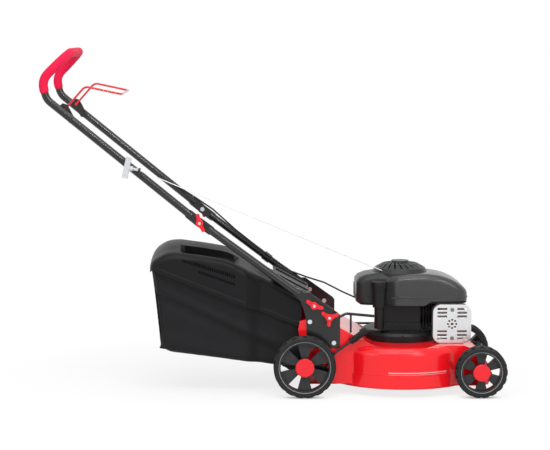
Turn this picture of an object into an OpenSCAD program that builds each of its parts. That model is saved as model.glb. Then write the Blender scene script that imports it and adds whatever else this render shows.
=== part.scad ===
// Petrol push lawn mower: deck, engine, folding handle, grass catcher and
// four wheels on cranked axles. Millimetres, +X forward, +Y left, +Z up.
// The origin lies on the ground, below the middle of the whole mower.

/* [Wheels] */
// Distance between the rear and front wheel centres
wheelbase = 510; // [480:5:560]
// Outer radius of the rear tyres
rear_wheel_r = 90; // [82:1:100]
// Outer radius of the front tyres
front_wheel_r = 75; // [70:1:85]
// Width of every tyre
tyre_w = 42; // [36:1:46]
// Thickness of the tyre between rim and tread
tyre_t = 15; // [12:1:18]
// Half of the track, to the middle plane of a wheel
track_half = 205; // [203:1:215]
// Spokes in each rim
spoke_count = 6; // [5:1:8]
// Radius of the rear hub caps
rear_cap_r = 27; // [24:1:30]
// Radius of the front hub caps
front_cap_r = 25; // [22:1:28]
// Tread blocks on each shoulder of a tyre
lug_count = 18; // [12:1:24]

/* [Axles] */
// Radius of the axle rods
axle_r = 6; // [5:0.5:7]
// Length of the rear crank arms, from the axle rod to the wheel centre
rear_arm = 62; // [56:1:66]
// Angle of the rear crank arms above the horizontal at the lowest cut
rear_arm_angle = 13; // [10:1:14]
// Length of the front crank arms
front_arm = 30; // [28:1:34]
// Angle of the front crank arms above the horizontal at the lowest cut
front_arm_angle = 28; // [24:1:30]
// Length of the rear link arm on the left side
rear_link = 64; // [60:1:68]

/* [Deck] */
// Outer radius of the round blade housing
deck_r = 215; // [212:1:220]
// Distance from the rear wheel centre to the crankshaft
crank_x = 290; // [284:1:296]
// Sheet thickness of the deck
deck_wall = 2.5; // [2:0.5:3.5]
// Height of the lower edge of the deck above the ground
deck_low = 25; // [22:1:32]
// Height of the flat top of the deck
deck_top = 143; // [140:1:148]
// Radius of the shoulder round the blade housing
shoulder_r = 26; // [20:1:30]
// Half width of the flat-sided front and rear of the deck
side_half = 158; // [155:1:160]
// Height of the rear discharge mouth
mouth_top = 240; // [232:1:244]

/* [Handle] */
// Radius of the handle tubes
tube_r = 11; // [10:0.5:12]
// Wall of the handle tubes
tube_wall = 1.5; // [1.2:0.1:2]
// Half width between the upper tubes
handle_half = 202; // [198:1:206]
// Height of the upper handle's crossbar
handle_top = 988; // [960:4:1010]
// Bend radius at the two upper corners
corner_r = 75; // [60:5:85]
// Thickness of the foam over the handlebar
foam_t = 2.2; // [1.5:0.1:3]
// Radius of the engine brake bail rod
bail_r = 3; // [2.5:0.5:4]

/* [Catcher] */
// Half width of the catcher's wide rear part
bag_half = 178; // [170:1:184]
// Half width of the catcher's narrow front part
bag_neck_half = 147; // [140:1:150]
// Slope of the lid towards the deck
lid_slope = 28; // [26:1:30]
// Wall of the moulded lid
lid_wall = 3; // [2.5:0.5:4]
// Thickness of the woven bag
cloth_t = 3; // [2:0.5:4]

/* [Engine] */
// Radius of the round sump flange
sump_r = 116; // [110:1:120]
// Height of the top of the starter housing
engine_top = 374; // [368:1:380]
// Radius of the starter housing's dome
dome_r = 82; // [76:1:88]
// Radius of the blade's swing
blade_r = 200; // [190:1:204]

/* [Hidden] */
$fn = 48;
RIGHT = -1;
LEFT = 1;
run = 0.05;          // radial clearance of a running fit
seam = 0.06;         // how far a seam's collar stands proud
rest_gap = 0.3;      // gap between a moving face and its seat
bolt_r = 4;
bolt_head_r = 6.5;
bolt_head_h = 4;

// crank pivots; the arms point back from them to the wheel centres
function arm_vector(length, angle) = length * [cos(angle), -sin(angle)];
rear_pivot = [0, rear_wheel_r] + arm_vector(rear_arm, rear_arm_angle);
front_pivot = [wheelbase, front_wheel_r] + arm_vector(front_arm, front_arm_angle);
arm_in = side_half + 6;
arm_t = 7;
link_y = arm_in + arm_t + 5.5;
link_r = 3.5;
// the front link arm turns further than the rear one, so it is shorter
front_link = rear_link * sin(rear_arm_angle) / sin(front_arm_angle);
rear_link_pin = rear_pivot + rear_link * [sin(rear_arm_angle), cos(rear_arm_angle)];
front_link_pin = front_pivot + front_link * [sin(front_arm_angle), cos(front_arm_angle)];
link_pin_r = 3;

// brackets and tubes
plate_t = 3;
tongue_t = 8;
tongue_w = 26;
knob_rear = [28, 263];
knob_front = [72, 228];
knob_upper = [-302, 507];
plate_bolts = [[16, 214], [86, 152]];
lower_y = side_half + plate_t + tongue_t / 2;
outer_y = handle_half - tongue_t;
lower_tilt = atan2(knob_upper.y - knob_front.y, knob_front.x - knob_upper.x);
grip_low = [-735, 858];
grip_bend = [-747, 912];
grip_top = [-672, handle_top];
leg_bend = 45;
upper_tilt = atan2(grip_low.y - knob_upper.y, knob_upper.x - grip_low.x);
foam_r = tube_r + foam_t;
bail_pivot = [-684, 829];
bail_knee = [-628, 893];
bail_end = [-525, 871];
bail_half = 170;
bail_pin_r = 2.5;
bail_bolt = [-665, 801];
bail_plate_y = handle_half - tube_r;
guide_at = [-472, 658];
grip_lift = 12;      // how far the starter grip points up, at rest
pull_y = -(handle_half + tube_r + 8.4);

// catcher: the lid's sloping plane runs through lid_low and lid_knee
flap_pivot = [14, 279];
rod_r = 4;
lid_low = [-14, 300];
lid_knee = lid_low + 235 * [-cos(lid_slope), sin(lid_slope)];
bag_front = -4;

// engine heights
sump_h = 30;
block_low = deck_top + sump_h;
block_high = 262;
shroud_low = block_high;
shroud_high = 330;
shroud_wall = 3;
shroud_skirt = 11;      // how far the shroud's rear half reaches below the blower plate
skirt_end = 66;
shaft_r = 12.5;
blade_z = 52;
blade_t = 4;

// ---------------------------------------------------------------- helpers
function unit(v) = v / norm(v);
function turn(a, b, c) = acos(unit(b - a) * unit(c - b));
function cut_back(a, b, c, bend) = bend * tan(turn(a, b, c) / 2);
function elbow_centre(a, b, c, bend) =
    let (u = unit(b - a), w = unit(c - b))
        b - u * cut_back(a, b, c, bend) + unit(w - u * (u * w)) * bend;

// straight round bar from a to b
module bar(a, b, r) {
    d = b - a;
    translate(a)
        rotate([0, acos(d.z / norm(d)), atan2(d.y, d.x)])
            cylinder(r = r, h = norm(d));
}

// the bend that joins a-b to b-c
module elbow(a, b, c, bend, r) {
    u = unit(b - a);
    w = unit(c - b);
    n = unit(w - u * (u * w));
    o = elbow_centre(a, b, c, bend);
    z = cross(-n, u);
    multmatrix([[-n.x, u.x, z.x, o.x], [-n.y, u.y, z.y, o.y], [-n.z, u.z, z.z, o.z]])
        rotate_extrude(angle = turn(a, b, c))
            translate([bend, 0]) circle(r);
}

// round bar along points, with one bend radius for every inner point; a thin
// collar covers each seam between a straight length and a bend
module bent_bar(points, bends, r) {
    last = len(points) - 1;
    for (i = [0:last - 1]) {
        a = points[i];
        b = points[i + 1];
        u = unit(b - a);
        from = a + u * (i == 0 ? 0 : cut_back(points[i - 1], a, b, bends[i - 1]));
        to = b - u * (i == last - 1 ? 0 : cut_back(a, b, points[i + 2], bends[i]));
        bar(from, to, r);
        if (i > 0) bar(from - u, from + u, r + seam);
        if (i < last - 1) {
            bar(to - u, to + u, r + seam);
            elbow(a, b, points[i + 2], bends[i], r);
        }
    }
}

// a profile drawn in the side view, extruded across the mower
module across(y_low, y_high) {
    translate([0, y_high, 0]) rotate([90, 0, 0])
        linear_extrude(y_high - y_low) children();
}

module at(x, z, y = 0) translate([x, y, z]) children();

// cylinder along Y between two sides
module cross_pin(p, y_low, y_high, r) {
    translate([p.x, y_high, p.y]) rotate([90, 0, 0])
        cylinder(r = r, h = y_high - y_low);
}

module both_sides() {
    children();
    mirror([0, 1, 0]) children();
}

// rectangle with round corners
module round_rect(w, h, r) {
    for (x = [-1, 1], y = [-1, 1])
        translate([x * (w / 2 - r), y * (h / 2 - r)]) circle(r);
    square([w - 2 * r, h], center = true);
    square([w, h - 2 * r], center = true);
}

// round tube of eight sides along a route of points
module cord(route, r) {
    sides = 8;
    count = len(route);
    along = [for (i = [0:count - 1])
        unit(route[min(i + 1, count - 1)] - route[max(i - 1, 0)])];
    rings = [for (i = [0:count - 1])
        let (w = unit(cross(along[i], [0, 1, 0.02])), v = cross(along[i], w))
            for (k = [0:sides - 1])
                route[i] + r * (cos(360 * k / sides) * w + sin(360 * k / sides) * v)];
    skin = [for (i = [0:count - 2], k = [0:sides - 1])
        let (m = (k + 1) % sides, n = i * sides)
            [n + k, n + sides + k, n + sides + m, n + m]];
    ends = [[for (k = [0:sides - 1]) k],
            [for (k = [sides - 1:-1:0]) (count - 1) * sides + k]];
    polyhedron(rings, concat(skin, ends));
}

module placed() translate([x_shift, 0, 0]) children();

// ---------------------------------------------------------------- wheels
module wheel_place(x, wheel_r, side) {
    translate([x, side * track_half, wheel_r]) rotate([side * -90, 0, 0]) children();
}

// the axis is Z here, and +Z points out of the mower
module tyre(wheel_r) {
    seat_r = wheel_r - tyre_t;
    tread_depth = 4;
    color("#2f3236") difference() {
        rotate_extrude() difference() {
            translate([seat_r, -tyre_w / 2]) square([tyre_t, tyre_w]);
            for (s = [-1, 1])
                translate([wheel_r, s * tyre_w / 2]) rotate(45)
                    square(9, center = true);
        }
        for (i = [0:lug_count - 1], s = [-1, 1])
            rotate(360 * (i + (s > 0 ? 0.5 : 0)) / lug_count)
                translate([wheel_r, 0, s * tyre_w * 0.36])
                    cube([2 * tread_depth, wheel_r * 0.13, tyre_w * 0.44], center = true);
    }
}

module rim(wheel_r, cap_r) {
    out_r = wheel_r - tyre_t;
    ring_t = 4;
    hub_r = cap_r - 4;
    half = 180 / spoke_count * 0.58;
    reach = out_r - ring_t / 2;
    color("#26282b") difference() {
        union() {
            rotate_extrude() {
                translate([out_r - ring_t, -tyre_w / 2 + 2]) square([ring_t, tyre_w - 4]);
                translate([out_r - ring_t - 1.5, tyre_w / 2 - 6]) square([5.5, 4]);
            }
            translate([0, 0, -tyre_w / 2 + 1]) cylinder(r = hub_r, h = tyre_w - 3);
            for (i = [0:spoke_count - 1]) rotate(360 * (i + 0.5) / spoke_count) {
                translate([0, 0, 2]) linear_extrude(5)
                    polygon([[hub_r * 0.7, -hub_r * 0.3], [reach * cos(half), -reach * sin(half)],
                             [reach, 0], [reach * cos(half), reach * sin(half)],
                             [hub_r * 0.7, hub_r * 0.3]]);
                for (s = [-1, 1]) rotate(s * half * 0.86)
                    translate([hub_r * 0.8, -1.2, -12]) cube([reach - hub_r * 0.8, 2.4, 16]);
            }
        }
        translate([0, 0, -tyre_w]) cylinder(r = axle_r + run, h = 2 * tyre_w);
        translate([0, 0, tyre_w / 2 - 10]) cylinder(r = hub_r - 5, h = 20);
    }
}

module wheel_cap(cap_r) {
    top = 5;
    color("#d02a30") translate([0, 0, tyre_w / 2 - 2]) difference() {
        rotate_extrude() {
            square([cap_r, 3]);
            square([cap_r - 3, top]);
            translate([cap_r - 3, 3]) intersection() {
                circle(top - 3);
                square(3);
            }
            translate([cap_r - 11, -4]) square([1.6, 5]);
        }
        translate([0, 0, -5]) cylinder(r = axle_r + 4.5, h = 7.5);
    }
}

// ---------------------------------------------------------------- axles
module crank_axle(pivot, centre, angle) {
    arm_out = arm_in + arm_t;
    hub_in = track_half - tyre_w / 2 + 1;
    nut = track_half + tyre_w / 2 - 10 + rest_gap;
    cross_pin(pivot, -arm_in - 1, arm_in + 1, axle_r);
    both_sides() {
        across(arm_in, arm_out) {
            translate(pivot) circle(11);
            translate(centre) circle(11);
            translate(pivot) rotate(180 - angle)
                translate([0, -10.4]) square([norm(pivot - centre), 20.8]);
        }
        cross_pin(centre, arm_in + 1, nut + 1, axle_r);
        cross_pin(centre, arm_out - 0.5, hub_in - rest_gap, axle_r + 3);
        cross_pin(centre, nut, nut + 5, axle_r + 3.5);
    }
}

module link_lever(pivot, pin) {
    lean = atan2(pin.x - pivot.x, pin.y - pivot.y);
    across(arm_in, arm_in + arm_t) {
        translate(pivot) rotate(90 - lean) translate([0, -7.5]) square([norm(pin - pivot), 15]);
        translate(pin) circle(8);
    }
    cross_pin(pin, arm_in + arm_t - 1, link_y + link_r + 2, link_pin_r);
}

module rear_axle() color("#34363a") {
    crank_axle(rear_pivot, [0, rear_wheel_r], rear_arm_angle);
    link_lever(rear_pivot, rear_link_pin);
}

module front_axle() color("#34363a") {
    crank_axle(front_pivot, [wheelbase, front_wheel_r], front_arm_angle);
    link_lever(front_pivot, front_link_pin);
}

lever_y = -(arm_in + arm_t + 4 + rest_gap);
lever_root = rear_pivot + [4, 6];
lever_bend = rear_pivot + [28, 49];
lever_slope = 36;
lever_reach = [cos(lever_slope), sin(lever_slope)];
knob_len = 60;

function on_lever(p) = [p.x, lever_y, p.y];

module height_lever() color("#1c1d1f")
    bent_bar([on_lever(lever_root), on_lever(lever_bend), on_lever(lever_bend + 84 * lever_reach)],
             [14], 4);

module lever_knob() color("#17181a")
    translate(on_lever(lever_bend + 54 * lever_reach)) rotate([0, 90 - lever_slope, 0])
        difference() {
            rotate_extrude() {
                square([8.5, knob_len]);
                for (i = [0:5]) translate([0, 5 + 7 * i]) square([10, 3.5]);
                translate([0, knob_len - 10]) square([10.5, 10]);
            }
            translate([0, 0, -1]) cylinder(r = 4, h = 31);
        }

// the rod rises over the blade housing; its front eye is a slot, which
// takes up the small difference between the two arms' arcs
module link_rod() color("#34363a") {
    a = rear_link_pin;
    b = front_link_pin;
    high = deck_top + 12;
    difference() {
        union() {
            bent_bar([for (p = [a, [a.x + 48, high], [b.x - 112, high], b]) [p.x, link_y, p.y]],
                     [20, 20], link_r);
            cross_pin(a, link_y - link_r, link_y + link_r, 7);
            across(link_y - link_r, link_y + link_r) translate(b) {
                for (s = [-1, 1]) translate([0, 3.5 * s]) circle(8);
                square([16, 7], center = true);
            }
        }
        cross_pin(a, link_y - 9, link_y + 9, link_pin_r + run);
        across(link_y - 9, link_y + 9) translate(b) {
            for (s = [-1, 1]) translate([0, 3.5 * s]) circle(link_pin_r + 1);
            square([2 * link_pin_r + 2, 7], center = true);
        }
    }
}

// ---------------------------------------------------------------- deck
module bowl_section(r, low, high, shoulder) {
    step = 62 - deck_r + r;
    translate([0, low]) square([r, high - shoulder - low]);
    translate([0, low]) square([r + 2.5, step - low]);
    square([r - shoulder, high]);
    translate([r - shoulder, high - shoulder]) circle(shoulder);
}

module bowl(r, low, high, shoulder) {
    translate([crank_x, 0, 0]) rotate_extrude($fn = 96) intersection() {
        bowl_section(r, low, high, shoulder);
        translate([0, low]) square([2 * r, high]);
    }
}

// the tunnel's roof starts to climb here, behind the engine
slope_x = crank_x - 124;
module rear_profile(t) {
    polygon([[5, deck_low + 6], [5, mouth_top - t], [24, mouth_top - t],
             [slope_x, deck_top + 18 - t], [slope_x + 40, deck_top - t],
             [crank_x, deck_top - t], [crank_x, deck_low + 6]]);
}

module nose_profile(t) {
    front = front_pivot.x + 13 - t;
    polygon([[crank_x, deck_low], [crank_x, deck_top - t], [front - 82, deck_top - t],
             [front - 42, deck_top - 16 - t], [front - 9, 86 - t], [front, 74 - t],
             [front, deck_low + 14], [front - 10, deck_low]]);
}

module nose_plan(t) {
    front = front_pivot.x + 13 - t;
    half = side_half - t;
    polygon([[crank_x, -half], [front - 30, -half], [front, 30 - half],
             [front, half - 30], [front - 30, half], [crank_x, half]]);
}

module nose(t) {
    intersection() {
        across(-side_half + t, side_half - t) nose_profile(t);
        linear_extrude(deck_top) nose_plan(t);
    }
}

module deck() color("#cf1219") difference() {
    w = deck_wall;
    floor_z = 104;
    union() {
        bowl(deck_r, deck_low, deck_top, shoulder_r);
        translate([crank_x, 0, deck_low]) cylinder(r = deck_r + 5.5, h = 3, $fn = 96);
        nose(0);
        across(-side_half, side_half) rear_profile(0);
        translate([5, -side_half - 3, deck_low + 6]) cube([90, 2 * side_half + 6, 3]);
        // ears at the mouth, which carry the lower corners of the brackets
        both_sides() across(side_half - w, side_half)
            polygon([[8, 166], [-14, 172], [-18, 190], [-13, 216], [8, 221]]);
    }
    bowl(deck_r - w, deck_low - 1, deck_top - w, shoulder_r - w);
    difference() {
        union() {
            translate([0, 0, -w]) nose(w);
            across(-side_half + w, side_half - w) intersection() {
                rear_profile(w);
                translate([5 + w, 0]) square([crank_x, floor_z - w]);
            }
        }
        translate([crank_x, 0, 0]) cylinder(r = deck_r, h = deck_top - w - 1, $fn = 96);
    }
    // discharge tunnel from the blade housing to the rear mouth
    across(-side_half + w, side_half - w) intersection() {
        translate([-1, 0]) rear_profile(w);
        translate([-2, floor_z]) square([crank_x, 200]);
    }
    translate([crank_x, 0, deck_top - 10]) {
        cylinder(r = 45, h = 20);
        for (i = [0:2]) rotate(120 * i) translate([96, 0]) cylinder(r = bolt_r + 0.2, h = 20);
    }
    for (p = [rear_pivot, front_pivot]) cross_pin(p, -side_half - 20, side_half + 20, axle_r + run);
    for (p = plate_bolts) cross_pin(p, -side_half - 1, side_half + 1, bolt_r + 0.1);
}

// ---------------------------------------------------------------- handle brackets
module side_brackets() color("#1d1e20") both_sides() difference() {
    across(side_half, side_half + plate_t)
        polygon([[12, 137], [8, 166], [5, 222], [-2, 250], [-16, 284], [-6, 300], [14, 300],
                 [98, 240], [104, 232], [104, 137]]);
    for (p = concat(plate_bolts, [knob_rear, knob_front]))
        cross_pin(p, side_half - 1, side_half + 9, bolt_r + 0.1);
    cross_pin(flap_pivot, side_half - 1, side_half + 9, rod_r + run);
}

// a tube end pressed flat, with its bolt holes, along local +X from the origin
module flat_end(back, front) {
    translate([-back, 0]) circle(tongue_w / 2);
    translate([front, 0]) circle(tongue_w / 2);
    translate([-back, -tongue_w / 2]) square([back + front, tongue_w]);
}

module tube_slot(length) {
    translate([0, 0, -0.8]) linear_extrude(1.6)
        translate([-length / 2, -tongue_w / 2 + 3]) square([length, tongue_w - 6]);
}

module lower_tube() {
    start = [knob_rear.x, lower_y, knob_rear.y];
    end = [knob_upper.x, outer_y, knob_upper.y];
    u = unit(end - start);
    bolt_gap = norm(knob_front - knob_rear);
    difference() {
        union() {
            difference() {
                bar(start + 56 * u, end - 30 * u, tube_r);
                bar(start + 50 * u, end - 12 * u, tube_r - tube_wall);
            }
            translate([knob_rear.x, lower_y, knob_rear.y]) rotate([90, lower_tilt, 0])
                translate([0, 0, -tongue_t / 2]) linear_extrude(tongue_t)
                    flat_end(62, bolt_gap + 2);
            translate([knob_upper.x, outer_y, knob_upper.y]) rotate([90, lower_tilt, 0])
                translate([0, 0, -tongue_t / 2]) linear_extrude(tongue_t) flat_end(2, 38);
        }
        translate([knob_rear.x, lower_y, knob_rear.y]) rotate([90, lower_tilt, 0])
            tube_slot(2 * bolt_gap + 110);
        translate([knob_upper.x, outer_y, knob_upper.y]) rotate([90, lower_tilt, 0])
            tube_slot(110);
        for (p = [knob_rear, knob_front, knob_upper])
            cross_pin(p, lower_y - 20, outer_y + 20, bolt_r + 0.1);
    }
}

module lower_tubes() color("#1a1b1d") {
    both_sides() lower_tube();
    // clip that holds the brake cable to the left-hand tube
    start = [knob_rear.x, lower_y, knob_rear.y];
    u = unit([knob_upper.x, outer_y, knob_upper.y] - start);
    difference() {
        bar(start + 152 * u, start + 177 * u, tube_r + 2.6);
        bar(start + 140 * u, start + 190 * u, tube_r + rest_gap);
    }
}

// bolt along Y: head inboard at y_head, shank out to y_tip
module side_bolt(p, y_head, y_tip) {
    cross_pin(p, y_head - bolt_head_h, y_head, bolt_head_r);
    cross_pin(p, y_head - 0.5, y_tip, bolt_r);
}

wing_face_low = side_half + plate_t + tongue_t + rest_gap;
wing_face_up = handle_half + tube_r + rest_gap;
wing_stud = 16;      // how far a stud reaches past a wing knob's face

module bolts() color("#c9ccd0") {
    both_sides() {
        for (p = [knob_rear, knob_front]) side_bolt(p, side_half, wing_face_low + wing_stud);
        side_bolt(knob_upper, outer_y - tongue_t / 2, wing_face_up + wing_stud);
        // spacer between the pressed tube end and the wing knob
        cross_pin(knob_upper, handle_half + tongue_t / 2 + rest_gap, handle_half + tube_r, 10);
        for (p = plate_bolts) {
            cross_pin(p, side_half + plate_t, side_half + plate_t + bolt_head_h, bolt_head_r);
            cross_pin(p, side_half - 8, side_half + plate_t + 0.5, bolt_r);
            cross_pin(p, side_half - 8, side_half - deck_wall, bolt_head_r);
        }
    }
    for (i = [0:2]) translate([crank_x, 0, 0]) rotate(120 * i)
        translate([96, 0, deck_top - deck_wall - 6]) {
            cylinder(r = bolt_head_r, h = 6);
            cylinder(r = bolt_r, h = 18 + deck_wall + 6 + 6);
        }
}

// wing knob, axis Z, with its face at z = 0; its stud shows in the middle.
// A lobe reaches the length given beyond the hub, at its angle in the plan
module knob_lobe(angle, length) rotate(angle) {
    translate([length, 0]) circle(5.5);
    polygon([[0, -7.5], [length, -4.5], [length, 4.5], [0, 7.5]]);
}

module wing_knob(lobes) color("#e03a45") difference() {
    union() {
        cylinder(r = 10.5, h = 13);
        linear_extrude(11) for (lobe = lobes) knob_lobe(lobe[0], lobe[1]);
        for (lobe = lobes) rotate(lobe[0]) translate([lobe[1], 0]) cylinder(r = 4.4, h = 15);
    }
    translate([0, 0, -1]) cylinder(r = bolt_r + run, h = 20);
}

two_wings = [[8, 22], [172, 22]];
three_wings = [[20, 22], [145, 22], [265, 20]];

module place_wing(p, face, side, angle, lobes) {
    translate([p.x, side * face, p.y]) rotate([side * -90, 0, 0]) rotate(side * angle)
        wing_knob(lobes);
}

// ---------------------------------------------------------------- upper handle
upper_points = [
    [knob_upper.x, -handle_half, knob_upper.y], [grip_low.x, -handle_half, grip_low.y],
    [grip_bend.x, -handle_half, grip_bend.y], [grip_top.x, -handle_half, grip_top.y],
    [grip_top.x, handle_half, grip_top.y], [grip_bend.x, handle_half, grip_bend.y],
    [grip_low.x, handle_half, grip_low.y], [knob_upper.x, handle_half, knob_upper.y]];
upper_bends = [leg_bend, leg_bend, corner_r, corner_r, leg_bend, leg_bend];

// the mower's middle, so that the origin lies below it
rearmost = elbow_centre(upper_points[1], upper_points[2], upper_points[3], leg_bend).x
    - leg_bend - foam_r;
x_shift = -(wheelbase + front_wheel_r + rearmost) / 2;

function shortened(points, by) =
    let (n = len(points) - 1)
        [for (i = [0:n])
            i == 0 ? points[0] + by * unit(points[1] - points[0]) :
            i == n ? points[n] + by * unit(points[n - 1] - points[n]) : points[i]];

module handlebar() color("#1a1b1d") difference() {
    union() {
        difference() {
            bent_bar(shortened(upper_points, 30), upper_bends, tube_r);
            bent_bar(shortened(upper_points, 12), upper_bends, tube_r - tube_wall);
        }
        both_sides() translate([knob_upper.x, handle_half, knob_upper.y])
            rotate([90, upper_tilt, 0])
                translate([0, 0, -tongue_t / 2]) linear_extrude(tongue_t) flat_end(38, 2);
    }
    both_sides() {
        translate([knob_upper.x, handle_half, knob_upper.y]) rotate([90, upper_tilt, 0])
            tube_slot(110);
        cross_pin(knob_upper, handle_half - 20, handle_half + 20, bolt_r + run);
        cross_pin(bail_bolt, handle_half - 20, handle_half + 20, 3.1);
    }
}

// foam sleeve over the top of the handlebar, from one leg to the other
function foam_low(side) =
    let (a = [grip_bend.x, side * handle_half, grip_bend.y],
         b = [grip_low.x, side * handle_half, grip_low.y])
        a + 38 * unit(b - a);

module foam_grip() color("#b3122b") difference() {
    foam_sleeve(foam_r);
    foam_sleeve(tube_r + 0.02);
}

module foam_sleeve(r) {
    low = [for (s = [-1, 1]) foam_low(s)];
    bent_bar([low[0], upper_points[2], upper_points[3], upper_points[4], upper_points[5], low[1]],
             [leg_bend, corner_r, corner_r, leg_bend], r);
}

module bail_brackets() both_sides() {
    y_in = bail_plate_y - plate_t;
    color("#1d1e20") difference() {
        across(y_in, bail_plate_y)
            polygon([[-700, 838], [-690, 846], [-676, 842], [-652, 796], [-655, 786], [-672, 790]]);
        cross_pin(bail_pivot, y_in - 1, bail_plate_y + 1, bail_pin_r + run);
        cross_pin(bail_bolt, y_in - 1, bail_plate_y + 1, 3.1);
    }
    color("#c9ccd0") {
        cross_pin(bail_bolt, y_in - 3, handle_half + tube_r + 1, 3);
        cross_pin(bail_bolt, y_in - 3, y_in, 6);
        cross_pin(bail_bolt, handle_half + tube_r, handle_half + tube_r + 3.5, 6);
    }
}

module bail() color("#c8202a") {
    bent_bar([for (p = [[bail_pivot, -1], [bail_knee, -1], [bail_end, -1],
                        [bail_end, 1], [bail_knee, 1], [bail_pivot, 1]])
                 [p[0].x, p[1] * bail_half, p[0].y]], [20, 24, 24, 20], bail_r);
    both_sides() {
        cross_pin(bail_pivot, bail_half - bail_r - 0.6, bail_half + bail_r + 0.6, bail_r + 1.4);
        cross_pin(bail_pivot, bail_half, bail_plate_y - 0.4, bail_pin_r);
    }
}

// wire guide and grip of the recoil starter, on the right-hand tube
rope_start = [guide_at.x, pull_y, guide_at.y];
rope_end = [250, -44, 341];
rope_dir = unit(rope_end - rope_start);
upper_run = unit([grip_low.x - knob_upper.x, 0, grip_low.y - knob_upper.y]);

module rope_guide() color("#1d1e20") {
    foot = [guide_at.x, -handle_half, guide_at.y - 8 - tube_r];
    difference() {
        union() {
            bar(rope_start - 2 * rope_dir, rope_start + 2 * rope_dir, 6.8);
            bar(rope_start - [0, 0, 5], [rope_start.x, rope_start.y, foot.z], 2.5);
            bar([foot.x, rope_start.y - 2.5, foot.z], foot - [0, tube_r - 1, 0], 3.5);
        }
        bar(rope_start - 4 * rope_dir, rope_start + 4 * rope_dir, 1.8);
        bar(foot - 40 * upper_run, foot + 40 * upper_run, tube_r);
    }
}

module starter_grip() color("#a8adb2") {
    translate(rope_start) rotate([0, grip_lift - 90, 0]) {
        translate([0, 0, 3.5]) cylinder(r = 4, h = 18.5);
        translate([0, 0, 18]) cylinder(r = 7, h = 12);
        translate([-30, -7.4, 28]) cube([60, 14.8, 16]);
    }
}

module starter_rope() color("#f0f0ee")
    cord([for (i = [0:6]) rope_start - 2 * rope_dir + (rope_end - rope_start) * i / 6], 1.5);

// clips that hold the bare rope's guide side and the brake cable to a tube
module cable_clamp() color("#d8dadc") {
    p = [knob_upper.x, handle_half, knob_upper.y] + 306 * upper_run;
    difference() {
        cross_pin([p.x, p.z], handle_half + 3, handle_half + 15, 7);
        bar(p - 20 * upper_run, p + 20 * upper_run, tube_r + rest_gap);
    }
}

// ---------------------------------------------------------------- engine
module engine_place() translate([crank_x, 0, 0]) children();

module sump() color("#17181a") engine_place() difference() {
    union() {
        translate([0, 0, deck_top]) rotate_extrude() {
            polygon([[0, 0], [sump_r, 0], [sump_r, sump_h - 12], [sump_r - 4, sump_h - 4],
                     [sump_r - 12, sump_h], [0, sump_h]]);
        }
        for (i = [0:11]) rotate(30 * i)
            translate([sump_r - 14, -2, deck_top + 6]) cube([17, 4, sump_h - 14]);
    }
    translate([0, 0, deck_top - 5]) cylinder(r = shaft_r + run, h = sump_h + 10);
    // cut away over the tunnel's roof
    translate([-crank_x, 0, 0]) across(-side_half, side_half) intersection() {
        rear_profile(-rest_gap);
        square([slope_x + 40, mouth_top + 20]);
    }
    for (i = [0:2]) rotate(120 * i) translate([96, 0, deck_top - 1]) {
        cylinder(r = bolt_r + 0.2, h = sump_h + 2);
        translate([0, 0, 19]) cylinder(r = 14, h = sump_h);
    }
}

fin_count = 9;
bore_z = 218;
module cylinder_block() color("#1b1c1e") engine_place() difference() {
    union() {
        translate([-62, -78, block_low]) cube([118, 156, 22]);
        translate([-58, -70, block_low]) cube([112, 140, block_high - block_low - 12]);
        translate([0, 0, block_low]) cylinder(r = 54, h = block_high - block_low);
        // cooling fins round the cylinder, which points forward
        translate([50, 0, bore_z]) rotate([0, 90, 0]) cylinder(r = 33, h = 88);
        for (i = [0:fin_count - 1])
            translate([56 + 8.5 * i, -50, bore_z - 42]) cube([3.2, 100, 82]);
        translate([128, -44, bore_z - 38]) cube([12, 88, 74]);
        // blower plate; the shroud's front half stands on it, the rear half's
        // skirt hangs round it
        translate([0, 0, block_high - 3]) linear_extrude(3) {
            shroud_plan(shroud_wall + rest_gap);
            intersection() {
                shroud_plan(0.5);
                translate([skirt_end + shroud_skirt + 1, -150]) square([150, 300]);
            }
        }
    }
    translate([0, 0, block_low - 1]) cylinder(r = shaft_r + run, h = 200);
    translate([140 - 9, 0, bore_z]) rotate([0, 90, 0]) cylinder(r = 5.1, h = 20);
}

module spark_plug() color("#e6e6e2") engine_place() translate([140, 0, bore_z]) rotate([0, 90, 0]) {
    translate([0, 0, -8]) cylinder(r = 5, h = 8);
    cylinder(r = 9, h = 7, $fn = 6);
    translate([0, 0, 7]) cylinder(r = 5.5, h = 22);
    color("#17181a") translate([0, 0, 24]) cylinder(r = 8, h = 20);
}

// plan of the moulded shroud, with round corners
shroud_box = [[-36, -104], [192, 62]];
module shroud_plan(inset) {
    size = shroud_box[1] - shroud_box[0] - [2, 2] * inset;
    mid = (shroud_box[0] + shroud_box[1]) / 2;
    translate(mid) round_rect(size.x, size.y, 34 - inset);
    circle(dome_r + 8 - inset);
}

// side view of the shroud: a flat top that falls away in front, and a skirt
// under the rear half
module shroud_side(inset) {
    front = shroud_box[1].x;
    top = shroud_high - inset;
    polygon([[-100, shroud_low - shroud_skirt], [skirt_end, shroud_low - shroud_skirt],
             [skirt_end + shroud_skirt, shroud_low], [front + 2, shroud_low],
             [front + 2, 290 - inset], [front - 19, 311 - inset], [front - 55, top],
             [-100, top]]);
}

module shroud_body(inset) {
    intersection() {
        across(-150, 150) shroud_side(inset);
        translate([0, 0, shroud_low - 30]) linear_extrude(120) shroud_plan(inset);
    }
}

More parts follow.
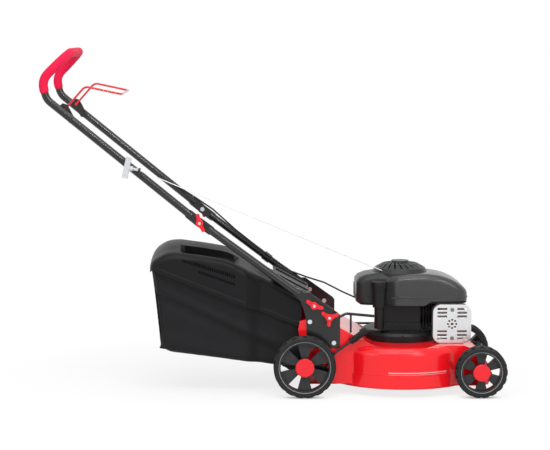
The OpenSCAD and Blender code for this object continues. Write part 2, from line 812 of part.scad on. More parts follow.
module engine_shroud() color("#222325") engine_place() difference() {
    union() {
        shroud_body(0);
        translate([0, 0, shroud_low + 6]) linear_extrude(4) shroud_plan(-2.5);
    }
    difference() {
        shroud_body(shroud_wall);
        translate([-150, -150, shroud_low - 50]) cube([300, 300, 50 - shroud_skirt - 1]);
    }
    // open below
    translate([0, 0, shroud_low - shroud_skirt - 1]) linear_extrude(shroud_skirt + 6)
        shroud_plan(shroud_wall);
    translate([0, 0, shroud_low]) cylinder(r = dome_r - 6, h = 100);
    // slot row along the right-hand side
    for (i = [0:9]) translate([20 + 15 * i, -120, shroud_low + 20])
        cube([5, 20, 22]);
}

dome_low = shroud_high;
dome_slots = 22;
module starter_housing() color("#2b2c2e") difference() {
    starter_dome();
    bar(rope_end + 6 * rope_dir, rope_end - 60 * rope_dir, 6);
}

module starter_dome() engine_place() translate([0, 0, dome_low]) difference() {
    h = engine_top - dome_low;
    w = 3;
    union() {
        rotate_extrude() {
            square([dome_r, 12]);
            translate([0, 12]) polygon([[0, 0], [dome_r, 0], [dome_r - 8, 12], [dome_r - 30, h - 20],
                                        [26, h - 16], [0, h - 16]]);
            square([26, h]);
        }
        rotate_extrude() translate([23, h - 3]) circle(3);
    }
    rotate_extrude() {
        translate([0, -1]) square([dome_r - w, 12]);
        translate([0, 10]) polygon([[0, 0], [dome_r - w, 0], [dome_r - w - 8, 12],
                                    [dome_r - w - 30, h - 21], [0, h - 21]]);
    }
    // curved air slots that sweep round the dome
    for (i = [0:dome_slots - 1]) rotate(360 * i / dome_slots)
        translate([30, 0, 6]) rotate([0, 0, 38]) cube([44, 4.2, 40]);
}

module fuel_tank() color("#3a3c3f") engine_place() difference() {
    union() {
        translate([-132, -30, shroud_low - 14]) linear_extrude(96)
            translate([66, 82]) round_rect(132, 110, 26);
        translate([-98, 92, shroud_low + 82]) cylinder(r = 24, h = 8);
    }
    // room for the shroud and the flywheel beside the tank
    translate([0, 0, shroud_low - 20]) linear_extrude(120) offset_plan(3);
    translate([-127, -25, shroud_low - 9]) linear_extrude(86) difference() {
        translate([61, 77]) round_rect(122, 100, 21);
        translate([127, 25]) offset_plan(7);
    }
    translate([-98, 92, shroud_low + 60]) cylinder(r = 19, h = 40);
}

module offset_plan(gap) {
    size = shroud_box[1] - shroud_box[0] + [2, 2] * gap;
    mid = (shroud_box[0] + shroud_box[1]) / 2;
    translate(mid) square(size, center = true);
    circle(dome_r + 8 + gap);
}

module fuel_cap() color("#17181a") engine_place() translate([-98, 92, shroud_low + 90 + rest_gap]) {
    difference() {
        union() {
            cylinder(r = 28, h = 14);
            for (i = [0:11]) rotate(30 * i) translate([26, -3, 0]) cube([4, 6, 12]);
        }
    }
    translate([0, 0, -12]) cylinder(r = 19 - run, h = 13);
}

filler = [222, -92];
module oil_filler() color("#1a1b1d") translate([filler.x, filler.y, 0]) difference() {
    union() {
        translate([0, 0, 184]) cylinder(r = 14, h = 66);
        translate([0, 0, 246]) cylinder(r = 19, h = 62);
        // neck that meets the engine block beside its base
        neck_end = -70 - rest_gap - filler.y;
        translate([-6, 0, block_low + 22 + rest_gap]) cube([20, neck_end, 30]);
        translate([0, 0, 300]) cylinder(r = 22, h = 8);
    }
    translate([0, 0, 200]) cylinder(r = 10, h = 60);
    translate([0, 0, 256]) cylinder(r = 15, h = 60);
}

module dipstick_cap() color("#17181a") translate([filler.x, filler.y, 308 + rest_gap]) {
    rotate_extrude() {
        square([23, 10]);
        square([17, 16]);
        translate([17, 10]) circle(6);
    }
    translate([0, 0, -10]) cylinder(r = 15 - run, h = 11);
    translate([0, 0, -95]) cylinder(r = 2.5, h = 86);
}

muffler_mid = [434, -90, 201];
muffler_depth = 48;
guard_size = [112, 114];
guard_gap = 6;

// a shape drawn facing the right-hand side; its +Z points out of the mower
module facing_right(p, out) translate([p.x, p.y - out, p.z]) rotate([90, 0, 0]) children();

module muffler() color("#8d9093") {
    face = muffler_depth / 2;
    facing_right(muffler_mid, -face) linear_extrude(muffler_depth) round_rect(92, 92, 22);
    translate([380, muffler_mid.y + face - 1, muffler_mid.z - 14])
        cube([24, -50 - rest_gap - muffler_mid.y - face + 1, 28]);
    for (s = [-1, 1]) facing_right(muffler_mid + [0, 0, 42 * s], face - 1) {
        cylinder(r = 6, h = guard_gap + 1);
        cylinder(r = 3, h = guard_gap + 5);
        translate([0, 0, guard_gap + 3]) cylinder(r = 5.5, h = 3.5);
    }
}

module muffler_guard() color("#c3c6c9") difference() {
    w = 2;
    back = muffler_depth / 2 + guard_gap;
    facing_right(muffler_mid, back - 32) linear_extrude(32 + w)
        round_rect(guard_size.x, guard_size.y, 24);
    facing_right(muffler_mid, back - 40) linear_extrude(40)
        round_rect(guard_size.x - 2 * w, guard_size.y - 2 * w, 22);
    facing_right(muffler_mid, back - 10) {
        // cooling slots above and below, and a ring of round holes between them
        for (row = [-1, 1], col = [-1, 1], k = [0:2])
            translate([col * 29 - 14, row * (22 + 11 * k) - 3, 0]) cube([28, 6, 20]);
        for (k = [0:7]) rotate(45 * k) translate([12, 0, 0]) cylinder(r = 3, h = 20);
        cylinder(r = 4, h = 20);
        for (s = [-1, 1]) translate([0, s * 42, 0]) cylinder(r = 3.2, h = 20);
    }
}

module air_filter() color("#222325") engine_place() {
    mid = [118, 96];
    difference() {
        union() {
            translate([mid.x, mid.y, 208]) linear_extrude(92) round_rect(112, 56, 14);
            translate([mid.x, mid.y, 240]) linear_extrude(5) round_rect(116, 60, 16);
        }
        for (i = [0:6]) translate([mid.x - 38 + 12 * i, mid.y + 20, 262]) cube([5, 20, 24]);
    }
    // intake neck to the cylinder
    translate([86, 50 + rest_gap, 216]) cube([28, 20, 26]);
}

// stay from the right-hand bracket past the engine, with a foot on the deck
module stay_bar() color("#151617") {
    foot = [136, -146];
    deck_here = deck_top + 18 + (crank_x - 124 - foot.x) * (mouth_top - deck_top - 18) / (crank_x - 148);
    bent_bar([[100, -152, 226], [122, -148, 236], [205, -106, 222]], [16], 4);
    bar([foot.x, foot.y + 4.5, deck_here + 1.5], [foot.x, foot.y + 4.5, 233], 3);
}

module crankshaft() color("#8d9196") engine_place() difference() {
    translate([0, 0, 74]) cylinder(r = shaft_r, h = 232);
    translate([0, 0, 60]) cylinder(r = 5, h = 40);
}

module flywheel() color("#7c8085") engine_place() difference() {
    z = shroud_low + 16;
    union() {
        translate([0, 0, z]) cylinder(r = 70, h = 12);
        translate([0, 0, z]) cylinder(r = 22, h = 28);
        for (i = [0:15]) rotate(22.5 * i) translate([40, -1.5, z + 11]) cube([30, 3, 22]);
    }
    translate([0, 0, z - 1]) cylinder(r = shaft_r, h = 60);
}

module blade_adapter() color("#6f7378") engine_place() difference() {
    union() {
        translate([0, 0, blade_z + blade_t + 18]) cylinder(r = 21, h = 32);
        translate([0, 0, blade_z + blade_t]) cylinder(r = 32, h = 18);
    }
    translate([0, 0, 74]) cylinder(r = shaft_r, h = 60);
    translate([0, 0, blade_z]) cylinder(r = 5.2, h = 60);
}

module blade() color("#3b3e42") engine_place() difference() {
    half_w = 25;
    union() {
        translate([-blade_r, -half_w, blade_z]) cube([2 * blade_r, 2 * half_w, blade_t]);
        // lift wings behind the cutting edges
        for (turned = [0, 180]) rotate(turned) translate([blade_r - 74, half_w - 5, blade_z])
            rotate([32, 0, 0]) cube([74, 24, blade_t]);
    }
    difference() {
        translate([0, 0, blade_z - 30]) cylinder(r = 2 * blade_r, h = 90);
        translate([0, 0, blade_z - 30]) cylinder(r = blade_r, h = 90);
    }
    translate([0, 0, blade_z - 1]) cylinder(r = 5.2, h = 9);
    for (turned = [0, 180]) rotate(turned) translate([blade_r - 86, -half_w, blade_z - 0.01])
        rotate([-30, 0, 0]) translate([0, -12, 0]) cube([90, 12, 12]);
}

module blade_bolt() color("#b9bcc0") engine_place() {
    translate([0, 0, blade_z - 8]) cylinder(r = 10, h = 5, $fn = 6);
    translate([0, 0, blade_z - 3]) cylinder(r = 17, h = 3);
    translate([0, 0, blade_z - 1]) cylinder(r = 5, h = 38);
}

// ---------------------------------------------------------------- catcher
// lower edge of the lid, which the cloth meets
lid_rim = [[bag_front - 212, 276], [bag_front - 14, 195]];
module lid_side() {
    polygon([lid_low, lid_knee, lid_knee + [-140, 22], lid_knee + [-178, 20],
             lid_knee + [-205, -8], lid_knee + [-214, -38], lid_knee + [-214, -46],
             lid_rim[0], lid_rim[1], [bag_front, 240]]);
}

module lid_plan(t) {
    rear = lid_knee.x - 214;
    h = bag_half - t;
    n = bag_neck_half - t;
    difference() {
        polygon([[rear + t, h], [-170, h], [-128, n], [20, n], [20, -n], [-128, -n],
                 [-170, -h], [rear + t, -h]]);
        for (s = [-1, 1]) difference() {
            translate([rear + t - 10, s * (h - 12) - 22]) square([44, 44]);
            translate([rear + t + 34, s * (h - 34)]) circle(34);
            translate([rear + t + 34, -h]) square([20, 2 * h]);
        }
    }
}

// the space under the lid, open below and in front
module lid_inside(t) {
    slope = [cos(lid_slope), -sin(lid_slope)];
    drop = t / cos(lid_slope);
    polygon([lid_low + 60 * slope - [0, drop], lid_knee - [0, drop], lid_knee + [-140, 22 - t],
             lid_knee + [-178, 20 - t], lid_knee + [-205 + t, -8 - t / 2],
             lid_knee + [-214 + t, -38], lid_knee + [-214 + t, -200], [60, 40]]);
}

module bag_lid() color("#26282a") difference() {
    intersection() {
        across(-bag_half, bag_half) lid_side();
        linear_extrude(600) lid_plan(0);
    }
    intersection() {
        across(-bag_half, bag_half) lid_inside(lid_wall);
        linear_extrude(600) lid_plan(lid_wall);
    }
    // hand hole behind the carrying bar, and a row of air slots on each side
    translate([lid_knee.x - 96, -52, lid_knee.y - 4]) cube([44, 104, 40]);
    for (s = [-1, 1]) {
        for (i = [0:24]) translate([lid_knee.x - 132 + 6.2 * i, s * bag_half - 6,
                                    lid_knee.y - 20 - 2 * i]) cube([2.8, 12, 14]);
        for (i = [0:14]) translate([lid_knee.x - 80 + 6.2 * i, s * bag_half - 6,
                                    lid_knee.y - 54 - 2.2 * i]) cube([2.8, 12, 14]);
    }
}

module cloth_side(t) {
    edge = [0, -0.4];
    rear = lid_knee.x - 212;
    polygon([[rear + t, lid_knee.y - 47.6], [rear + t, 300], [-418 + t, 152], [-411 + t, 124 + t],
             [-250, 103 + t], [-91, 80 + t], [bag_front, 78 + t], [bag_front, lid_rim[1].y + edge.y],
             lid_rim[1] + edge, lid_rim[0] + edge]);
}

module cloth_plan(t) {
    h = bag_half - 8 - t;
    n = bag_neck_half - 2 - t;
    polygon([[-450, -h], [-170, -h], [-128, -n], [20, -n], [20, n], [-128, n], [-170, h],
             [-450, h]]);
}

module bag_cloth() color("#1b1c1e") difference() {
    intersection() {
        across(-bag_half, bag_half) cloth_side(0);
        linear_extrude(600) cloth_plan(0);
    }
    intersection() {
        across(-bag_half, bag_half) union() {
            cloth_side(cloth_t);
            translate([0, 20]) cloth_side(cloth_t + 4);
            translate([bag_front - 30, 80 + cloth_t]) square([60, 140]);
        }
        linear_extrude(600) cloth_plan(cloth_t);
    }
}

// wire hoop inside the mouth of the bag, with two hooks for the flap rod
module bag_frame() color("#34363a") {
    x = bag_front - 9;
    h = bag_neck_half - 2 - cloth_t - 3 - rest_gap;
    low = 80 + cloth_t + 3 + rest_gap;
    high = 246;
    bent_bar([[x, 0, low], [x, -h, low], [x, -h, high], [x, h, high], [x, h, low], [x, 0, low]],
             [16, 16, 16, 16], 3);
}

// ---------------------------------------------------------------- rear flap
module rear_flap() color("#151617") {
    half = 140;
    lift = rod_r + 3;
    translate([flap_pivot.x, 0, flap_pivot.y]) rotate([0, lid_slope, 0]) difference() {
        union() {
            translate([-118, -half, lift - 1]) cube([118, 2 * half, 3]);
            for (y = [-half, half - 3, -60, 57]) translate([-110, y, lift + 1]) cube([104, 3, 5]);
            for (y = [-half, -24, half - 40]) translate([0, y, 0]) rotate([-90, 0, 0])
                cylinder(r = lift, h = 40);
        }
        translate([0, -200, 0]) rotate([-90, 0, 0]) cylinder(r = rod_r + run, h = 400);
    }
}

module flap_rod() color("#b9bcc0") {
    cross_pin(flap_pivot, -side_half - plate_t + rest_gap, side_half + plate_t - rest_gap, rod_r);
    // torsion spring beside the right-hand knuckle
    translate([flap_pivot.x, -84, flap_pivot.y]) rotate([-90, 0, 0]) difference() {
        cylinder(r = rod_r + 1.6, h = 44);
        translate([0, 0, -1]) cylinder(r = rod_r, h = 46);
    }
}

// ---------------------------------------------------------------- brake cable
cable_r = 2.5;
fold_cable = [-330, 185, 548];
module brake_cable_lower() color("#131416")
    cord([fold_cable, [-270, 181, 508], [-200, 171, 446], [-100, 160, 368], [-30, 152, 320],
          [20, 149, 302], [70, 120, 290], [120, 70, 270], [157, 30, 258]], cable_r);

module brake_cable_upper() color("#131416")
    cord([[-668, 178, 822], [-652, 177, 792], [-620, 182, 760], [-540, 188.2, 700], [-420, 188.2, 603],
          fold_cable + [-0.6, 0, 0.45]], cable_r);

// ---------------------------------------------------------------- drawing
placed() deck();
placed() side_brackets();
placed() lower_tubes();
placed() bolts();
placed() flap_rod();
placed() brake_cable_lower();
placed() starter_rope();
placed() sump();
placed() cylinder_block();
placed() spark_plug();
placed() engine_shroud();
placed() starter_housing();
placed() fuel_tank();
placed() oil_filler();
placed() muffler();
placed() muffler_guard();
placed() air_filter();
placed() stay_bar();
placed() crankshaft();
placed() flywheel();
placed() blade_adapter();
placed() blade();
placed() blade_bolt();
placed() fuel_cap();
placed() dipstick_cap();
placed() wheel_place(0, rear_wheel_r, RIGHT)  // tyre_rear_right
        tyre(rear_wheel_r);
placed() wheel_place(0, rear_wheel_r, RIGHT)  // rim_rear_right
        rim(rear_wheel_r, rear_cap_r);
placed() wheel_place(0, rear_wheel_r, RIGHT)  // cap_rear_right
        wheel_cap(rear_cap_r);
placed() wheel_place(0, rear_wheel_r, LEFT)  // tyre_rear_left
        tyre(rear_wheel_r);
placed() wheel_place(0, rear_wheel_r, LEFT)  // rim_rear_left
        rim(rear_wheel_r, rear_cap_r);
placed() wheel_place(0, rear_wheel_r, LEFT)  // cap_rear_left
        wheel_cap(rear_cap_r);
placed() wheel_place(wheelbase, front_wheel_r, RIGHT)  // tyre_front_right
        tyre(front_wheel_r);
placed() wheel_place(wheelbase, front_wheel_r, RIGHT)  // rim_front_right
        rim(front_wheel_r, front_cap_r);
placed() wheel_place(wheelbase, front_wheel_r, RIGHT)  // cap_front_right
        wheel_cap(front_cap_r);
placed() wheel_place(wheelbase, front_wheel_r, LEFT)  // tyre_front_left
        tyre(front_wheel_r);
placed() wheel_place(wheelbase, front_wheel_r, LEFT)  // rim_front_left
        rim(front_wheel_r, front_cap_r);
placed() wheel_place(wheelbase, front_wheel_r, LEFT)  // cap_front_left
        wheel_cap(front_cap_r);
placed() rear_axle();
placed() height_lever();
placed() lever_knob();
placed() front_axle();
placed() link_rod();
placed() handlebar();
placed() foam_grip();
placed() bail_brackets();
placed() brake_cable_upper();
placed() rope_guide();
placed() cable_clamp();
placed() bail();
placed() starter_grip();
placed() rear_flap();
placed() bag_lid();
placed() bag_cloth();
placed() bag_frame();
placed() place_wing(knob_upper, wing_face_up, RIGHT, 70, two_wings);  // wing_upper_right
placed() place_wing(knob_upper, wing_face_up, LEFT, 70, two_wings);  // wing_upper_left
placed() place_wing(knob_rear, wing_face_low, RIGHT, 25, two_wings);  // wing_lower_right_rear
placed() place_wing(knob_front, wing_face_low, RIGHT, 0, three_wings);  // wing_lower_right_front
placed() place_wing(knob_rear, wing_face_low, LEFT, 25, two_wings);  // wing_lower_left_rear
placed() place_wing(knob_front, wing_face_low, LEFT, 0, three_wings);  // wing_lower_left_front
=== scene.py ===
"""Push lawn mower: finishes, soft pieces, studio and camera for the jointed model."""
import math

import bmesh
import bpy
from mathutils import Euler, Matrix, Vector
from mathutils.bvhtree import BVHTree


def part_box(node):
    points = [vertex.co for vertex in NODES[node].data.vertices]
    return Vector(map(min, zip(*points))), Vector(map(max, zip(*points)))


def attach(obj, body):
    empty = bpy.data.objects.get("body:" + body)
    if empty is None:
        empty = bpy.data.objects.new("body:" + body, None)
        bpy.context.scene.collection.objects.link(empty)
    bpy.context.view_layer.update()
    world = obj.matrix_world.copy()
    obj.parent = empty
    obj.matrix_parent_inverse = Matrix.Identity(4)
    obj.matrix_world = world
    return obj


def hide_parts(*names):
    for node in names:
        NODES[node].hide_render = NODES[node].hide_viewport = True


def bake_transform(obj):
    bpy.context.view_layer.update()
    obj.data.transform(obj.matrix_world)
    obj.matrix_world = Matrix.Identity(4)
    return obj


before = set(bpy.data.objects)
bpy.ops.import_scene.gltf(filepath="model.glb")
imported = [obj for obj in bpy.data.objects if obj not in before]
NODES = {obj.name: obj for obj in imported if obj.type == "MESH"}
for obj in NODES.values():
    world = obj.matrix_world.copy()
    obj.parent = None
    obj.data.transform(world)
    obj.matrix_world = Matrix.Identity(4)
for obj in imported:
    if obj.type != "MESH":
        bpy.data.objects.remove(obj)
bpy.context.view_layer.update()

# ---- colours
DECK_RED = (0.80, 0.006, 0.012)
FOAM_CRIMSON = (0.74, 0.005, 0.055)
KNOB_RED = (0.74, 0.020, 0.030)
BAIL_RED = (0.60, 0.012, 0.020)
TUBE_BLACK = (0.008, 0.008, 0.009)
COVER_GREY = (0.034, 0.034, 0.036)
TANK_GREY = (0.024, 0.025, 0.026)
LID_BLACK = (0.0075, 0.0075, 0.0085)
MOULDED_BLACK = (0.008, 0.008, 0.009)
RUBBER_GREY = (0.016, 0.016, 0.017)
CLOTH_BLACK = (0.006, 0.006, 0.007)
GUARD_SILVER = (0.72, 0.73, 0.74)
ZINC_PALE = (0.74, 0.75, 0.76)
GRIP_GREY = (0.50, 0.52, 0.54)
ROPE_WHITE = (0.85, 0.85, 0.83)
PALE_DUST = (0.32, 0.30, 0.27)


# ---- shader groups
NUMBER = "NodeSocketFloat"
NORMAL = "NodeSocketVector"


def new_group(name, inputs, outputs):
    """A shader group with its number inputs and its outputs, and nothing between them."""
    group = bpy.data.node_groups.new(name, "ShaderNodeTree")
    for label, value in inputs.items():
        socket = group.interface.new_socket(name=label, in_out="INPUT", socket_type=NUMBER)
        socket.default_value = value
    for label, kind in outputs.items():
        group.interface.new_socket(name=label, in_out="OUTPUT", socket_type=kind)
    enter = group.nodes.new("NodeGroupInput")
    leave = group.nodes.new("NodeGroupOutput")
    return group, enter, leave


def set_sockets(node, values):
    """Sets a node's own inputs; an underscore stands for the space in a label."""
    for label, value in values.items():
        node.inputs[label.replace("_", " ")].default_value = value


def add_node(tree, kind, **values):
    """A shader node of a kind, with its inputs set."""
    node = tree.nodes.new("ShaderNode" + kind)
    set_sockets(node, values)
    return node


def calc(tree, operation, first, second=None, clamp=False):
    """A math node; its inputs are sockets or plain numbers."""
    node = add_node(tree, "Math")
    node.operation = operation
    node.use_clamp = clamp
    for slot, value in enumerate((first, second)):
        if value is None:
            continue
        if isinstance(value, (int, float)):
            node.inputs[slot].default_value = value
        else:
            tree.links.new(value, node.inputs[slot])
    return node.outputs[0]


def ramp(tree, value, low, high):
    """0 below low, 1 above high, and an eased rise between them."""
    node = add_node(tree, "MapRange", From_Min=low, From_Max=high)
    node.interpolation_type = "SMOOTHSTEP"
    tree.links.new(value, node.inputs["Value"])
    return node.outputs["Result"]


def pattern(tree, kind, **values):
    """A texture laid out in each piece's own space, so that it is the same size on all of them."""
    place = add_node(tree, "TexCoord")
    texture = add_node(tree, kind, **values)
    tree.links.new(place.outputs["Object"], texture.inputs["Vector"])
    return texture


def make_grain_group():
    """Fine moulded or sprayed grain, the same size on every piece."""
    inputs = {"Scale": 900.0, "Softness": 0.5}
    group, enter, leave = new_group("Surface grain", inputs, {"Height": NUMBER, "Patches": NUMBER})
    fine = pattern(group, "TexNoise", Detail=3.0)
    broad = pattern(group, "TexNoise", Detail=4.0, Scale=14.0)
    group.links.new(enter.outputs["Scale"], fine.inputs["Scale"])
    group.links.new(enter.outputs["Softness"], fine.inputs["Roughness"])
    group.links.new(fine.outputs["Fac"], leave.inputs["Height"])
    group.links.new(broad.outputs["Fac"], leave.inputs["Patches"])
    return group


def make_edge_group():
    """A mask of worn edges, and a normal that rounds them off."""
    inputs = {"Radius": 0.0015, "Wear": 0.4}
    group, enter, leave = new_group("Edge wear", inputs, {"Mask": NUMBER, "Normal": NORMAL})
    round_off = add_node(group, "Bevel")
    round_off.samples = 4
    flat = add_node(group, "NewGeometry")
    dot = add_node(group, "VectorMath")
    dot.operation = "DOT_PRODUCT"
    chips = pattern(group, "TexNoise", Detail=5.0, Scale=160.0)
    group.links.new(enter.outputs["Radius"], round_off.inputs["Radius"])
    group.links.new(round_off.outputs["Normal"], dot.inputs[0])
    group.links.new(flat.outputs["Normal"], dot.inputs[1])
    turned_away = calc(group, "SUBTRACT", 1.0, dot.outputs["Value"], clamp=True)
    edge = ramp(group, turned_away, 0.02, 0.22)
    chipped = ramp(group, chips.outputs["Fac"], 0.48, 0.66)
    both = calc(group, "MULTIPLY", edge, chipped)
    group.links.new(calc(group, "MULTIPLY", both, enter.outputs["Wear"], True), leave.inputs["Mask"])
    group.links.new(round_off.outputs["Normal"], leave.inputs["Normal"])
    return group


def make_dust_group():
    """Thin dust that settles on faces that look up."""
    group, enter, leave = new_group("Settled dust", {"Amount": 0.15}, {"Mask": NUMBER})
    face = add_node(group, "NewGeometry")
    split = add_node(group, "SeparateXYZ")
    cloud = pattern(group, "TexNoise", Detail=6.0, Scale=22.0)
    group.links.new(face.outputs["Normal"], split.inputs["Vector"])
    up = ramp(group, split.outputs["Z"], 0.3, 1.0)
    cover = ramp(group, cloud.outputs["Fac"], 0.35, 0.75)
    both = calc(group, "MULTIPLY", up, cover)
    group.links.new(calc(group, "MULTIPLY", both, enter.outputs["Amount"], True), leave.inputs["Mask"])
    return group


def make_weave_group():
    """Plain weave from two crossed sets of threads, on the three main planes."""
    outputs = {"Height": NUMBER, "Thread shade": NUMBER}
    group, enter, leave = new_group("Plain weave", {"Threads": 700.0}, outputs)
    half_wave = 3.14159
    place = add_node(group, "TexCoord")
    split = add_node(group, "SeparateXYZ")
    group.links.new(place.outputs["Object"], split.inputs["Vector"])
    level = calc(group, "ADD", split.outputs["X"], split.outputs["Y"])
    across = calc(group, "MULTIPLY", level, enter.outputs["Threads"])
    down = calc(group, "MULTIPLY", split.outputs["Z"], enter.outputs["Threads"])
    warp = calc(group, "SINE", calc(group, "MULTIPLY", across, half_wave))
    weft = calc(group, "SINE", calc(group, "MULTIPLY", down, half_wave))
    crossed = calc(group, "MULTIPLY", warp, weft)
    # The node's third input stays at its own 0.5, so the height runs from 0 to 1.
    group.links.new(calc(group, "MULTIPLY_ADD", crossed, 0.5), leave.inputs["Height"])
    fibre = pattern(group, "TexNoise", Detail=4.0, Scale=260.0)
    group.links.new(fibre.outputs["Fac"], leave.inputs["Thread shade"])
    return group


GRAIN = make_grain_group()
EDGES = make_edge_group()
DUST = make_dust_group()
WEAVE = make_weave_group()


# ---- material helpers
def start_material(name, colour, roughness, metallic=0.0, specular=0.22):
    """A Principled material, with its tree and its shader."""
    material = bpy.data.materials.new(name)
    material.use_nodes = True
    tree = material.node_tree
    shader = tree.nodes["Principled BSDF"]
    set_sockets(shader, {"Base Color": (*colour, 1.0), "Roughness": roughness, "Metallic": metallic})
    if metallic == 0.0:
        set_sockets(shader, {"Specular IOR Level": specular})
    material.diffuse_color = (*colour, 1.0)
    return material, tree, shader


def use_group(tree, group, **values):
    """A shared effect placed in a material with its own values."""
    node = add_node(tree, "Group")
    node.node_tree = group
    set_sockets(node, values)
    return node


def mix_colour(tree, factor, first, second):
    """Blend of two colours, each a socket or a plain colour."""
    node = add_node(tree, "Mix")
    node.data_type = "RGBA"
    ends = [node.inputs[0], node.inputs[6], node.inputs[7]]
    for socket, value in zip(ends, (factor, first, second)):
        if isinstance(value, tuple):
            socket.default_value = (*value, 1.0)
        elif isinstance(value, (int, float)):
            socket.default_value = value
        else:
            tree.links.new(value, socket)
    return node.outputs[2]


def grey(level):
    """A grey with no tint."""
    return (level, level, level)


def shade(colour, amount):
    """The same colour, lighter or darker."""
    return tuple(min(1.0, part * amount) for part in colour)


def spread(tree, value, low, high):
    """A 0 to 1 value spread from low to high."""
    node = add_node(tree, "MapRange", To_Min=low, To_Max=high)
    tree.links.new(value, node.inputs["Value"])
    return node.outputs["Result"]


def bump(tree, shader, height, distance, strength, normal=None):
    """Feeds a height into the shader's normal."""
    node = add_node(tree, "Bump", Distance=distance, Strength=strength)
    tree.links.new(height, node.inputs["Height"])
    if normal is not None:
        tree.links.new(normal, node.inputs["Normal"])
    tree.links.new(node.outputs["Normal"], shader.inputs["Normal"])


def worn_material(name, colour, worn, grain, rough, edge, dust, dust_colour=PALE_DUST, metallic=0.0,
                  specular=0.22, **sockets):
    """A material with grain, rounded worn edges and a trace of dust.

    grain is its scale and depth, and edge is the radius of its rounding and how much of it is worn.
    """
    material, tree, shader = start_material(name, colour, rough, metallic, specular)
    grain_scale, grain_depth = grain
    edge_radius, edge_wear = edge
    grained = use_group(tree, GRAIN, Scale=grain_scale)
    edges = use_group(tree, EDGES, Radius=edge_radius, Wear=edge_wear)
    settled = use_group(tree, DUST, Amount=dust)
    varied = mix_colour(tree, grained.outputs["Patches"], shade(colour, 0.9), shade(colour, 1.1))
    edged = mix_colour(tree, edges.outputs["Mask"], varied, worn)
    dusty = mix_colour(tree, settled.outputs["Mask"], edged, dust_colour)
    tree.links.new(dusty, shader.inputs["Base Color"])
    level = spread(tree, grained.outputs["Patches"], rough - 0.05, rough + 0.07)
    dulled = calc(tree, "ADD", level, calc(tree, "MULTIPLY", settled.outputs["Mask"], 0.5), True)
    tree.links.new(dulled, shader.inputs["Roughness"])
    bump(tree, shader, grained.outputs["Height"], grain_depth, 1.0, edges.outputs["Normal"])
    set_sockets(shader, sockets)
    return material


def lay_weave(tree, shader, threads, dark, pale, rough, relief):
    """Woven threads in a material's roughness and relief; gives back their colour."""
    weave = use_group(tree, WEAVE, Threads=threads)
    tree.links.new(spread(tree, weave.outputs["Thread shade"], *rough), shader.inputs["Roughness"])
    bump(tree, shader, weave.outputs["Height"], *relief)
    return mix_colour(tree, weave.outputs["Height"], dark, pale)


# ---- materials
def deck_paint():
    """Thick red gloss over pressed steel."""
    return worn_material("Deck gloss red", DECK_RED, worn=(0.30, 0.004, 0.007), grain=(240, 0.000008),
                         rough=0.22, edge=(0.003, 0.4), dust=0.02, Coat_Weight=0.4, Coat_Roughness=0.04)


def tube_paint():
    """Satin black powder coat on tubes, rods and plates."""
    return worn_material("Tube satin black", TUBE_BLACK, worn=grey(0.09), grain=(1500, 0.00006),
                         rough=0.33, edge=(0.0012, 0.5), dust=0.05, Coat_Weight=0.6, Coat_Roughness=0.12)


def bail_paint():
    """Red enamel on the thin bail rod."""
    return worn_material("Bail enamel red", BAIL_RED, worn=(0.28, 0.03, 0.03), grain=(500, 0.00003),
                         rough=0.28, edge=(0.0008, 0.5), dust=0.03, Coat_Weight=0.5, Coat_Roughness=0.08)


def zinc():
    """Pale zinc plating on screws and rods."""
    return worn_material("Zinc plate", ZINC_PALE, worn=(0.42, 0.41, 0.38), grain=(900, 0.00003), rough=0.3,
                         edge=(0.0007, 0.5), dust=0.05, metallic=1.0)


def bare_steel():
    """Plain machined steel, slightly browned."""
    return worn_material("Machined steel", (0.42, 0.41, 0.40), worn=(0.6, 0.59, 0.58),
                         grain=(700, 0.00004), rough=0.34, edge=(0.0008, 0.6), dust=0.1,
                         dust_colour=(0.16, 0.08, 0.04), metallic=1.0)


def ground_blade():
    """Blade steel with a grey heat-treated skin."""
    return worn_material("Blade steel", (0.20, 0.20, 0.21), worn=grey(0.62), grain=(420, 0.00008),
                         rough=0.4, edge=(0.002, 0.9), dust=0.12, dust_colour=(0.10, 0.12, 0.05),
                         metallic=1.0)


def cover_plastic():
    """Dark grey satin plastic of the engine cover."""
    return worn_material("Engine cover plastic", COVER_GREY, worn=grey(0.07), grain=(1100, 0.00003),
                         rough=0.34, edge=(0.003, 0.25), dust=0.03, Coat_Weight=0.4, Coat_Roughness=0.16)


def tank_plastic():
    """Slightly darker moulded plastic of the fuel tank."""
    return worn_material("Tank plastic", TANK_GREY, worn=grey(0.09), grain=(800, 0.00004), rough=0.32,
                         edge=(0.005, 0.2), dust=0.03)


def black_plastic():
    """Plain black moulded plastic."""
    return worn_material("Moulded black plastic", MOULDED_BLACK, worn=grey(0.05), grain=(1300, 0.00008),
                         rough=0.40, edge=(0.0015, 0.3), dust=0.07)


def lid_plastic():
    """Grained black plastic of the catcher lid."""
    return worn_material("Lid grained plastic", LID_BLACK, worn=grey(0.045), grain=(620, 0.00012),
                         rough=0.42, edge=(0.003, 0.2), dust=0.03, specular=0.14)


def rim_plastic():
    """Smooth black plastic of the wheel discs."""
    return worn_material("Wheel disc plastic", (0.030, 0.030, 0.032), worn=grey(0.06),
                         grain=(900, 0.00004), rough=0.28, edge=(0.0012, 0.3), dust=0.06)


def knob_plastic():
    """Red plastic of the caps and wing knobs."""
    return worn_material("Knob red plastic", KNOB_RED, worn=(0.62, 0.10, 0.10), grain=(1200, 0.00005),
                         rough=0.36, edge=(0.0015, 0.25), dust=0.05, Subsurface_Weight=0.08,
                         Subsurface_Radius=(0.004, 0.001, 0.001))


def grip_plastic():
    """Light grey plastic of the starter grip and clamps."""
    return worn_material("Starter grip grey plastic", GRIP_GREY, worn=grey(0.62), grain=(900, 0.00006),
                         rough=0.4, edge=(0.002, 0.3), dust=0.05)


